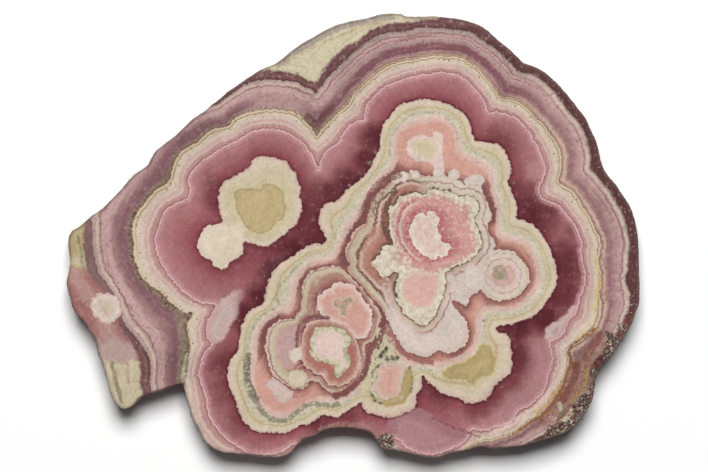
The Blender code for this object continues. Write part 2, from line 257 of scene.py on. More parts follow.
# The cluster of stalactites in the middle: its cream border, and where the salmon begins.
CLUSTER = [
    (6.2, 24.0), (7.3, 25.2), (8.0, 26.3), (9.0, 27.4), (10.3, 28.2), (12.0, 28.7),
    (13.8, 29.1), (15.5, 29.1), (17.2, 28.8), (18.8, 28.4), (20.4, 27.9), (22.0, 26.9),
    (23.3, 26.1), (24.0, 25.0), (24.5, 23.6), (24.9, 22.3), (25.1, 21.0), (26.2, 20.3),
    (27.6, 20.1), (29.2, 20.0), (30.3, 19.6), (31.2, 18.8), (31.9, 17.8), (32.5, 16.6),
    (32.9, 15.4), (33.1, 14.2), (32.8, 13.0), (32.4, 12.0), (32.6, 11.0), (33.2, 9.8),
    (33.6, 8.6), (34.2, 7.6), (34.3, 6.2), (34.4, 5.0), (34.2, 4.0), (35.2, 3.9),
    (36.4, 3.4), (37.6, 2.8), (38.6, 1.8), (39.6, 0.4), (40.5, -0.9), (41.3, -2.4),
    (42.0, -4.0), (42.4, -5.6), (42.7, -7.2), (42.7, -9.0), (42.3, -10.6), (41.4, -12.1),
    (40.4, -13.6), (39.4, -15.1), (38.2, -16.3), (36.8, -17.0), (35.0, -17.7),
    (33.4, -18.3), (32.0, -18.5), (30.8, -18.5), (29.8, -19.2), (30.8, -19.8),
    (31.9, -20.1), (32.6, -20.8), (33.0, -22.0), (33.2, -23.6), (33.3, -25.4),
    (33.3, -27.0), (33.0, -28.6), (32.1, -29.1), (31.1, -30.0), (30.0, -30.8),
    (29.4, -31.8), (28.8, -33.0), (27.8, -34.0), (26.4, -34.6), (25.0, -35.0),
    (23.6, -34.8), (22.4, -34.2), (21.0, -33.7), (19.4, -33.2), (18.2, -32.7),
    (17.2, -31.8), (16.2, -31.0), (15.3, -30.2), (14.5, -29.1), (14.3, -30.6),
    (14.2, -32.0), (13.4, -32.8), (13.1, -34.2), (13.0, -35.4), (12.2, -36.3),
    (10.8, -37.0), (9.4, -37.6), (8.0, -37.9), (6.4, -37.8), (4.8, -37.4), (3.2, -37.0),
    (2.2, -36.4), (1.7, -35.6), (1.5, -34.9), (0.4, -35.3), (-0.8, -36.2), (-2.0, -37.0),
    (-3.4, -37.8), (-5.0, -37.7), (-6.6, -37.3), (-7.6, -38.0), (-8.6, -38.9),
    (-10.0, -39.4), (-11.2, -39.6), (-12.6, -40.2), (-14.0, -41.0), (-16.0, -41.2),
    (-18.0, -41.0), (-20.0, -40.9), (-21.3, -40.4), (-22.6, -39.5), (-23.6, -38.2),
    (-24.2, -36.8), (-24.8, -35.0), (-25.4, -33.4), (-26.2, -31.8), (-26.6, -30.0),
    (-26.6, -28.0), (-26.2, -26.2), (-25.4, -24.8), (-24.5, -23.6), (-24.2, -22.0),
    (-24.0, -20.4), (-23.8, -18.8), (-23.0, -17.0), (-21.9, -15.4), (-20.4, -14.4),
    (-19.1, -13.8), (-18.8, -12.4), (-18.6, -10.8), (-18.0, -9.0), (-17.3, -7.4),
    (-16.2, -6.0), (-15.0, -5.0), (-13.6, -4.2), (-12.2, -3.3), (-10.8, -2.3),
    (-9.4, -1.4), (-8.0, -1.1), (-6.4, -1.1), (-6.0, -0.2), (-6.4, 1.0), (-7.2, 2.2),
    (-7.6, 3.6), (-7.3, 5.0), (-6.8, 6.2), (-5.8, 7.2), (-4.4, 7.6), (-3.2, 8.0),
    (-2.4, 9.0), (-1.6, 10.0), (-0.6, 11.0), (0.6, 11.7), (1.8, 12.7), (2.8, 13.9),
    (3.6, 15.2), (4.0, 16.4), (4.8, 17.6), (5.3, 18.8), (5.3, 20.6), (5.7, 22.4),
]
SALMON_FRONT = [
    (8.6, 17.4), (8.5, 19.4), (8.8, 21.2), (9.8, 22.8), (11.2, 23.6), (13.0, 24.2),
    (15.0, 24.6), (17.0, 25.0), (18.8, 24.7), (20.2, 23.8), (21.2, 22.4), (21.6, 20.6),
    (21.8, 18.8), (22.8, 17.4), (24.6, 16.5), (26.4, 15.5), (27.9, 14.4), (28.8, 13.0),
    (29.2, 11.2), (29.4, 9.4), (29.9, 7.6), (30.4, 6.0), (30.4, 4.0), (30.2, 2.0),
    (30.5, 0.5), (31.8, -0.1), (33.4, -0.4), (35.2, -0.9), (36.7, -1.8), (37.6, -3.2),
    (38.2, -4.8), (38.7, -6.6), (38.8, -8.4), (38.2, -10.4), (37.2, -12.0),
    (35.9, -13.4), (34.3, -14.4), (32.6, -15.0), (30.6, -15.1), (28.8, -14.9),
    (27.2, -15.2), (26.4, -16.6), (26.0, -18.4), (26.0, -20.0), (25.6, -21.7),
    (24.8, -23.3), (23.4, -24.6), (21.6, -25.6), (19.6, -26.2), (17.4, -26.7),
    (15.2, -26.8), (13.0, -26.6), (11.3, -26.0), (9.9, -25.2), (8.8, -24.0),
    (8.2, -22.5), (7.6, -21.0), (6.7, -19.0), (6.2, -20.4), (5.6, -21.8), (4.6, -22.7),
    (3.7, -23.8), (3.5, -25.4), (3.4, -27.0), (3.0, -28.6), (2.2, -30.0), (1.0, -31.2),
    (-0.4, -32.4), (-2.0, -33.5), (-4.0, -34.1), (-6.0, -33.9), (-7.8, -34.2),
    (-9.4, -34.7), (-10.9, -35.6), (-12.3, -36.6), (-14.0, -37.2), (-16.0, -37.1),
    (-17.8, -36.5), (-19.2, -35.4), (-20.3, -33.8), (-21.0, -31.8), (-21.4, -29.6),
    (-21.2, -27.4), (-20.9, -25.2), (-20.9, -23.0), (-20.6, -21.0), (-20.0, -19.2),
    (-18.9, -17.6), (-17.4, -16.3), (-15.6, -15.5), (-14.0, -15.3), (-13.2, -14.4),
    (-12.8, -12.4), (-12.4, -10.4), (-11.8, -8.4), (-10.8, -6.8), (-9.4, -5.7),
    (-7.6, -5.1), (-5.8, -4.7), (-4.4, -4.0), (-3.6, -2.8), (-3.0, -1.2), (-2.2, 0.4),
    (-1.2, 2.0), (-0.2, 3.4), (0.8, 4.8), (1.6, 6.4), (2.0, 8.2), (2.8, 9.6),
    (4.0, 10.8), (5.2, 12.2), (6.4, 13.4), (7.6, 14.6), (8.4, 16.0),
]
# The body that holds the main disk, the small right stalactite and the lilac mass.
MAIN_BODY = [
    (8.2, 12.6), (9.0, 13.6), (10.4, 14.1), (12.0, 13.9), (13.2, 13.8), (14.0, 13.2),
    (14.8, 13.1), (16.2, 13.0), (18.0, 13.2), (19.2, 13.1), (20.4, 12.8), (21.6, 12.3),
    (22.6, 11.8), (23.6, 11.3), (24.9, 11.2), (26.2, 11.1), (26.9, 10.4), (27.4, 9.2),
    (28.0, 7.8), (28.6, 6.4), (29.0, 5.0), (29.0, 3.6), (28.2, 2.6), (28.3, 1.4),
    (28.8, 0.4), (29.6, -0.6), (29.7, -1.7), (29.6, -2.4), (30.6, -2.4), (32.0, -2.4),
    (33.8, -3.0), (35.2, -4.4), (36.4, -6.0), (37.0, -7.6), (36.9, -9.2), (36.2, -10.6),
    (35.4, -11.6), (34.2, -12.4), (32.6, -13.2), (31.0, -13.4), (29.4, -13.2),
    (28.0, -12.6), (27.1, -11.7), (26.7, -10.7), (26.0, -11.6), (24.9, -12.0),
    (24.3, -13.0), (24.0, -14.2), (23.4, -14.7), (22.6, -14.0), (21.4, -13.5),
    (20.6, -13.1), (21.0, -14.4), (21.9, -15.3), (22.9, -16.5), (23.7, -17.8),
    (24.1, -19.4), (24.2, -21.0), (23.6, -22.4), (22.4, -23.4), (21.2, -24.2),
    (19.6, -24.4), (18.6, -24.3), (18.0, -23.6), (17.0, -24.4), (15.6, -25.1),
    (14.0, -25.1), (12.6, -24.6), (11.4, -24.2), (10.2, -23.4), (9.4, -22.0),
    (8.8, -20.8), (8.0, -19.6), (7.2, -18.0), (6.6, -16.4), (5.6, -14.8), (4.4, -13.6),
    (3.0, -12.0), (1.6, -10.2), (0.2, -8.8), (-1.2, -7.4), (-1.6, -6.4), (-1.2, -5.4),
    (-1.8, -4.0), (-1.9, -2.4), (-1.0, -0.8), (-0.2, 1.0), (0.8, 2.2), (2.2, 3.0),
    (2.8, 4.4), (3.2, 6.0), (3.5, 7.8), (4.4, 9.0), (5.8, 10.0), (7.0, 11.2),
]
FRILL = [
    (7.2, 4.0), (7.2, 5.6), (7.6, 6.6), (8.6, 7.0), (9.0, 8.0), (10.0, 8.8), (11.2, 9.2),
    (12.4, 9.6), (13.4, 9.4), (14.4, 9.0), (15.2, 9.2), (15.4, 10.0), (16.4, 10.3),
    (17.6, 10.2), (18.2, 9.8), (19.0, 9.9), (20.0, 9.9), (20.8, 9.4), (21.8, 8.8),
    (22.8, 8.6), (24.0, 8.8), (25.2, 8.4), (26.0, 7.6), (26.3, 6.4), (26.0, 5.2),
    (25.4, 4.2), (25.6, 3.0), (26.2, 1.8), (26.6, 0.6), (26.9, -0.8), (26.7, -2.2),
    (26.0, -3.2), (25.0, -4.2), (24.0, -4.9), (22.6, -5.6), (21.0, -6.2), (20.2, -7.0),
    (19.2, -7.2), (19.2, -8.6), (19.3, -10.0), (18.9, -11.6), (18.6, -13.0),
    (18.0, -14.2), (17.6, -15.4), (17.0, -16.6), (16.0, -17.6), (15.2, -18.4),
    (14.0, -18.6), (13.0, -18.0), (12.4, -17.4), (11.4, -16.8), (10.4, -16.0),
    (9.8, -14.8), (9.0, -13.6), (8.6, -12.0), (8.6, -10.0), (9.0, -8.6), (9.4, -7.6),
    (8.2, -7.5), (7.4, -8.2), (6.0, -8.4), (5.2, -7.4), (4.4, -6.6), (3.6, -5.6),
    (4.4, -4.4), (5.4, -3.4), (6.0, -2.0), (6.8, -1.4), (7.8, -1.6), (8.4, -1.6),
    (7.8, 0.0), (7.3, 1.6), (7.2, 2.8),
]
ROSE_DISK = [
    (8.8, 1.0), (8.7, 2.6), (9.2, 4.4), (9.8, 6.0), (11.0, 7.4), (12.6, 8.2),
    (14.6, 8.3), (16.6, 8.1), (18.6, 7.6), (20.4, 7.0), (21.8, 6.0), (22.9, 5.0),
    (23.6, 3.6), (23.9, 2.0), (24.4, 0.4), (24.9, -1.0), (24.6, -2.6), (23.6, -3.8),
    (22.2, -4.8), (20.4, -5.4), (18.4, -6.2), (16.4, -7.2), (14.4, -6.6), (12.6, -5.2),
    (11.2, -3.6), (10.0, -2.0), (9.2, -0.6),
]
PALE_FLOWER = [
    (11.6, 1.8), (12.2, 3.2), (13.0, 4.6), (14.2, 5.2), (15.2, 4.8), (15.8, 5.6),
    (17.0, 5.4), (17.4, 4.6), (18.2, 4.0), (18.0, 3.2), (17.6, 2.4), (17.8, 1.2),
    (18.2, 0.0), (18.6, -1.0), (19.6, -1.2), (20.4, -1.8), (20.2, -2.6), (19.6, -3.4),
    (19.0, -4.2), (17.8, -4.0), (17.2, -4.4), (16.2, -4.8), (15.4, -4.2), (14.6, -3.6),
    (13.8, -3.0), (12.8, -2.0), (12.2, -0.6), (11.6, 0.6),
]
PINK_DISK = [
    (12.4, -6.8), (14.0, -7.2), (16.0, -7.4), (17.6, -7.6), (18.1, -9.0), (17.9, -11.0),
    (17.2, -13.0), (16.2, -14.5), (14.2, -15.0), (12.2, -14.7), (10.8, -13.6),
    (10.0, -12.0), (9.9, -10.0), (10.8, -8.2),
]
# The pair of joined stalactites lower left in the cluster.
TWIN_BODY = [
    (-1.6, -6.9), (-2.6, -6.3), (-4.0, -5.9), (-5.6, -6.0), (-7.0, -6.4), (-8.6, -6.8),
    (-9.8, -7.8), (-10.6, -9.2), (-11.0, -11.0), (-11.2, -13.0), (-11.4, -15.0),
    (-12.2, -15.8), (-12.7, -16.9), (-13.8, -17.0), (-15.2, -17.2), (-16.6, -17.8),
    (-17.8, -18.8), (-18.4, -20.2), (-18.6, -22.0), (-18.8, -23.4), (-18.4, -25.0),
    (-18.0, -26.6), (-17.4, -28.2), (-16.4, -29.6), (-14.4, -31.0), (-12.6, -31.8),
    (-11.0, -31.9), (-10.0, -31.2), (-9.2, -30.5), (-8.0, -30.2), (-7.0, -31.0),
    (-6.1, -31.9), (-4.6, -32.6), (-3.2, -32.6), (-1.6, -32.0), (-0.2, -31.0),
    (1.0, -30.0), (2.0, -28.8), (2.6, -27.2), (2.7, -25.4), (2.5, -24.0), (2.4, -23.0),
    (3.0, -22.3), (4.0, -21.9), (4.6, -21.0), (5.0, -19.8), (5.4, -18.2), (5.7, -16.6),
    (5.4, -15.0), (4.6, -14.0), (3.6, -12.8), (2.4, -11.4), (1.4, -10.2), (0.2, -9.0),
    (-0.8, -8.0),
]
TWIN_UPPER = [
    (-8.0, -13.4), (-7.6, -12.3), (-6.7, -11.8), (-6.2, -11.0), (-5.0, -10.6),
    (-4.2, -9.7), (-3.0, -9.3), (-2.0, -9.5), (-0.8, -9.8), (0.2, -10.2), (1.0, -11.2),
    (1.8, -12.4), (2.6, -13.6), (3.6, -15.0), (4.0, -16.4), (3.8, -18.0), (3.4, -19.6),
    (2.6, -20.8), (1.4, -21.5), (0.4, -21.4), (-2.0, -19.0), (-4.6, -17.8),
    (-5.8, -17.1), (-6.8, -16.6), (-7.4, -15.6), (-7.7, -14.4),
]
TWIN_LOWER = [
    (-5.8, -17.2), (-7.0, -17.2), (-8.4, -17.4), (-9.6, -18.0), (-10.4, -19.0),
    (-10.9, -20.2), (-11.0, -21.6), (-11.1, -23.0), (-11.1, -24.6), (-10.9, -26.0),
    (-10.4, -27.0), (-9.3, -27.6), (-8.6, -28.4), (-7.6, -28.9), (-6.4, -28.8),
    (-6.2, -29.8), (-5.4, -30.8), (-4.0, -31.2), (-2.6, -31.2), (-1.4, -30.6),
    (-0.2, -29.6), (0.8, -28.4), (1.2, -27.0), (1.4, -25.4), (1.3, -23.6), (1.0, -22.2),
    (0.4, -21.0), (-0.4, -19.6), (-1.6, -18.4), (-3.4, -17.6),
]
FLOWER_UPPER = [
    (-4.6, -13.4), (-4.0, -12.8), (-3.0, -12.6), (-2.4, -13.0), (-1.6, -12.4),
    (-0.8, -12.2), (0.0, -12.6), (0.0, -13.6), (-0.8, -14.4), (-1.4, -15.0),
    (-1.1, -15.8), (-1.6, -16.7), (-2.6, -16.7), (-3.6, -16.2), (-2.9, -15.4),
    (-3.8, -14.8), (-4.5, -14.3),
]
FLOWER_LOWER = [
    (-9.4, -22.0), (-9.2, -20.8), (-8.6, -20.0), (-8.4, -19.0), (-7.0, -18.7),
    (-5.4, -18.5), (-4.0, -18.6), (-2.8, -19.0), (-1.8, -19.3), (-1.6, -20.0),
    (-0.6, -21.0), (-0.4, -22.0), (-1.2, -23.0), (-1.3, -24.0), (-0.8, -25.0),
    (-0.6, -26.4), (-1.2, -27.6), (-2.2, -28.6), (-3.2, -29.4), (-4.2, -29.0),
    (-4.3, -27.8), (-4.0, -26.9), (-5.4, -26.6), (-6.6, -26.2), (-8.0, -25.9),
    (-9.0, -25.2), (-9.4, -24.0), (-9.2, -23.0),
]
MAUVE_LENS = [
    (-15.6, -19.6), (-13.6, -18.3), (-11.8, -18.6), (-11.3, -21.5), (-11.4, -25.0), (-12.6, -27.2),
    (-14.6, -27.4), (-16.1, -25.2), (-16.5, -22.2),
]

# The stalactite at the top of the cluster.
TOP_RING = [
    (10.8, 19.2), (11.2, 20.4), (12.4, 21.2), (14.0, 21.8), (15.4, 21.4), (16.2, 21.2),
    (16.6, 22.2), (17.8, 22.4), (18.6, 21.8), (18.9, 20.4), (18.8, 18.8), (18.8, 17.0),
    (19.0, 15.4), (19.1, 14.0), (18.6, 13.0), (17.6, 13.0), (16.6, 13.8), (16.5, 15.0),
    (15.8, 15.6), (14.4, 15.8), (13.0, 16.0), (11.8, 16.8), (11.0, 18.0),
]
TOP_HEART = [
    (12.0, 19.6), (12.8, 20.6), (14.4, 20.8), (15.6, 20.4), (16.8, 19.8), (17.6, 18.6),
    (17.2, 17.2), (16.2, 16.6), (14.8, 16.8), (13.4, 17.6), (12.6, 18.4),
]

# The two tan bodies at the foot of the cluster, and the pink one beside the small tan arc.
TAN_LENS = [
    (18.2, -28.2), (19.4, -27.4), (21.0, -26.4), (22.8, -26.0), (24.2, -25.0),
    (25.4, -24.0), (26.0, -22.8), (27.0, -22.2), (28.4, -22.3), (29.2, -23.2),
    (29.6, -24.4), (30.2, -25.6), (30.0, -27.0), (29.6, -28.4), (28.4, -29.2),
    (27.0, -29.4), (26.2, -30.2), (25.4, -31.2), (24.2, -31.0), (23.2, -30.2),
    (21.6, -30.0), (20.0, -30.2), (19.0, -29.6),
]
TAN_ARC = [
    (11.2, -27.4), (11.7, -26.8), (12.2, -28.2), (12.4, -29.8), (12.5, -31.0),
    (12.0, -32.4), (11.4, -33.8), (10.4, -34.8), (8.8, -35.4), (7.0, -35.5),
    (5.6, -34.9), (4.9, -34.1), (6.2, -34.4), (7.8, -34.7), (9.4, -34.2), (10.4, -33.0),
    (10.0, -31.4), (10.2, -30.0), (10.8, -28.6),
]
PINK_KERNEL = [
    (4.6, -29.0), (4.6, -27.6), (5.6, -26.6), (7.0, -26.2), (8.6, -26.2), (10.2, -26.6),
    (11.0, -27.4), (10.7, -28.6), (10.1, -30.0), (9.9, -31.4), (10.1, -32.8),
    (9.3, -33.9), (7.8, -34.3), (6.2, -34.1), (5.0, -33.3), (4.4, -32.0), (4.2, -30.4),
]

# Lilac patches inside the hairline and in the cluster.
LILAC_LEFT = [
    (-29.8, -22.3), (-30.9, -20.8), (-31.1, -19.2), (-30.7, -17.4), (-30.0, -16.5),
    (-29.4, -15.2), (-28.8, -14.2), (-27.6, -13.0), (-26.0, -11.8), (-24.6, -11.0),
    (-23.2, -11.2), (-23.0, -12.6), (-24.0, -14.0), (-24.2, -15.6), (-24.6, -16.8),
    (-25.4, -17.6), (-26.0, -18.6), (-26.4, -19.8), (-27.0, -20.9), (-28.0, -21.7),
]
LILAC_RIGHT = [
    (46.0, -14.2), (45.0, -15.6), (43.6, -16.9), (42.1, -17.8), (40.8, -18.7),
    (40.1, -20.1), (40.3, -21.3), (41.4, -22.0), (42.7, -21.4), (43.9, -20.3),
    (44.6, -18.8), (45.1, -17.5), (46.4, -16.2), (47.0, -14.8),
]
LILAC_BLOB = [
    (-18.6, -30.8), (-17.6, -29.7), (-16.4, -29.6), (-15.0, -30.6), (-13.8, -31.6),
    (-12.9, -32.3), (-12.9, -33.4), (-14.0, -34.6), (-15.4, -34.8), (-16.4, -34.0),
    (-16.9, -32.8), (-18.0, -31.9),
]

# The pale flower on the wing, and two pale kernels in the cluster.
WING_FLOWER = [
    (-55.6, -14.2), (-54.8, -12.6), (-53.8, -11.8), (-52.4, -11.6), (-51.2, -11.8),
    (-49.8, -12.2), (-49.2, -13.6), (-48.8, -15.2), (-49.0, -16.4), (-49.8, -17.2),
    (-50.8, -17.9), (-52.0, -18.3), (-53.2, -17.6), (-53.9, -16.9), (-54.8, -16.8),
    (-55.0, -15.6),
]
CREAM_KNOB = [
    (-14.0, -28.6), (-12.5, -27.7), (-10.9, -27.9), (-9.9, -29.0), (-9.8, -30.4),
    (-10.8, -31.3), (-12.4, -31.5), (-13.6, -30.8),
]
WHITE_BUD = [
    (-13.8, -25.0), (-13.6, -23.9), (-12.7, -23.4), (-12.0, -22.9), (-11.1, -23.1),
    (-11.0, -24.4), (-11.1, -25.6), (-12.0, -26.2), (-13.2, -26.0),
]

# The gap between the two groups of stalactites, and the pink zone below the cluster.
SPECKLED_GAP = [
    (4.6, -19.6), (6.0, -18.6), (7.4, -21.6), (9.4, -26.0), (7.0, -28.0), (4.0, -31.2),
    (1.6, -33.8), (1.2, -31.0), (3.4, -26.6), (4.6, -23.0),
]
PINK_FOOT = [
    (8.2, -36.6), (12.0, -35.7), (15.5, -36.6), (18.5, -38.6), (22.0, -40.2), (26.5, -42.2),
    (27.6, -46.0), (16.0, -48.0), (8.6, -46.0), (6.8, -41.0),
]

FRONTS = {
    "speckled_gap": SPECKLED_GAP, "pink_foot": PINK_FOOT, "crust_outside": CRUST_OUTSIDE,
    "crust_inside": CRUST_INSIDE, "brown_front": BROWN_FRONT, "hairline": HAIRLINE_FRONT,
    "left_ring": LEFT_RING, "left_heart": LEFT_HEART, "cluster": CLUSTER,
    "salmon_front": SALMON_FRONT, "main_body": MAIN_BODY, "frill": FRILL,
    "rose_disk": ROSE_DISK, "pale_flower": PALE_FLOWER, "pink_disk": PINK_DISK,
    "twin_body": TWIN_BODY, "twin_upper": TWIN_UPPER, "twin_lower": TWIN_LOWER,
    "flower_upper": FLOWER_UPPER, "flower_lower": FLOWER_LOWER, "mauve_lens": MAUVE_LENS,
    "top_ring": TOP_RING, "top_heart": TOP_HEART, "tan_lens": TAN_LENS, "tan_arc": TAN_ARC,
    "pink_kernel": PINK_KERNEL, "lilac_left": LILAC_LEFT, "lilac_right": LILAC_RIGHT,
    "lilac_blob": LILAC_BLOB, "wing_flower": WING_FLOWER, "cream_knob": CREAM_KNOB,
    "white_bud": WHITE_BUD,
}

# Soft round spots: x, y, radius and strength.  Wine spots deepen the rose zone.
WINE_SPOTS = [
    (38, 6, 6, 1.0), (35, 10, 3, 0.6), (45, -6, 6, 0.9), (44, -12, 5, 0.9), (34, -18.5, 4, 1.0),
    (40, -17, 4, 1.0), (30, -33, 3, 0.5), (2.5, 16, 3, 1.0), (4, 21, 3, 1.0), (-1, 11, 4, 1.0),
    (-5, 9, 3, 0.9), (-8, 1, 5, 0.8), (-13, -2.8, 3.5, 1.0), (-17, -7, 3, 1.0),
    (-20, -12.6, 3, 1.0), (-23, -16, 3, 1.0), (-8, 6, 6, 0.75), (-1, -38.6, 2.4, 0.5),
    (-7, -39, 3, 0.7), (30, 20, 4, 0.5), (-28, -26, 4, 0.65), (-28, -32, 4, 0.4),
    (-25, -39, 4, 0.3), (18, -32, 3, 0.6), (26, -36, 3, 0.5), (-10, 6, 4, 0.8),
    (-29, 9, 3, 0.7), (47, 1, 3, 0.6), (35, -25, 4, 0.85), (33, -31, 3, 0.5),
]
# Lilac-pink clouds that lighten the rose zone.
MAUVE_SPOTS = [
    (38, -25, 4.5, 0.8), (38.5, -30, 5, 0.9), (34, -36, 5, 1.0), (29, -40, 4, 0.7),
    (0, 20, 3, 0.4), (-3, 15, 3, 0.3), (37.4, 14, 2.4, 0.9), (2.4, -38.6, 2, 0.8),
    (-24, -8, 4, 0.5), (50, -3, 3, 0.2), (-30, -29, 3, 0.4), (-27, -37, 3, 0.4),
    (-37, -8, 5, 0.35), (-31, -12, 4, 0.3), (33, 24, 3, 0.3),
]
# Ochre stain in the lower right.
OCHRE_SPOTS = [
    (47.5, -29, 4.5, 1.0), (44.5, -34, 4, 1.0), (52, -22, 3.5, 0.6), (49.5, -25.5, 3, 0.9),
    (40.5, -37, 3, 0.8), (45, -38.5, 3.5, 0.7), (50.5, -20, 2.5, 0.6), (42, -40, 2.5, 0.6),
    (53, -18, 2, 0.4), (51.6, -12, 1.2, 0.6), (51.5, -16, 1.5, 0.6), (37, -40, 2, 0.4),
    (30, 30, 1.5, 0.3),
]
# Small dark and white crystals, along the rim there and at the foot.
DRUSE_SPOTS = [
    (54.6, -22.6, 1.8, 1.0), (53.8, -24.4, 1.6, 1.0), (50.4, -28.6, 1.3, 0.8),
    (50.2, -31, 1.3, 0.7),
    (48.8, -34.6, 2.0, 1.0), (47.2, -36.4, 1.6, 1.0), (43.6, -40.0, 1.5, 0.9),
    (46.4, -39, 1.8, 0.8), (53.6, -20.4, 1.4, 0.6), (56.2, -19, 1.4, 0.6), (41.4, -41, 1.6, 0.7),
    (58.5, -14, 1.2, 0.4), (6.6, -43, 2.0, 0.9),
]
# Slow changes of tone over the whole face: negative is darker.
TONE_SPOTS = [
    (-1, 34, 4.5, -0.12), (-7.4, 25, 3, -0.12), (57, 6, 5, -0.1), (48, -30, 8, -0.15),
    (-56, -3, 4, -0.1), (-34, 24, 6, -0.18), (-43, 14, 5, -0.12), (-38.5, -26, 4.5, -0.2),
    (-36, -2, 7, 0.06), (11, 15.2, 2, 0.1), (41.5, 20.5, 1.6, -0.1),
]
# Round pale buds: x, y and radius.
PALE_BUDS = [
    (21.0, 13.2, 1.25), (25.0, 12.0, 1.2), (26.3, 12.1, 1.2), (23.9, 11.8, 0.9),
    (8.8, 12.4, 1.1), (10.3, 12.8, 1.2), (13.0, 13.2, 0.9), (17.6, 13.6, 1.1),
    (25.4, -9.0, 2.3), (24.9, -7.4, 1.8), (21.6, -10.6, 1.7), (23.2, -13.2, 1.0),
    (20.4, -8.6, 1.0), (22.0, -12.6, 0.8), (12.0, 13.8, 0.5),
]
# The small round stalactite right of the main disk.
SMALL_EYE = (31.4, -8.0)
SMALL_EYE_RADIUS = 5.0

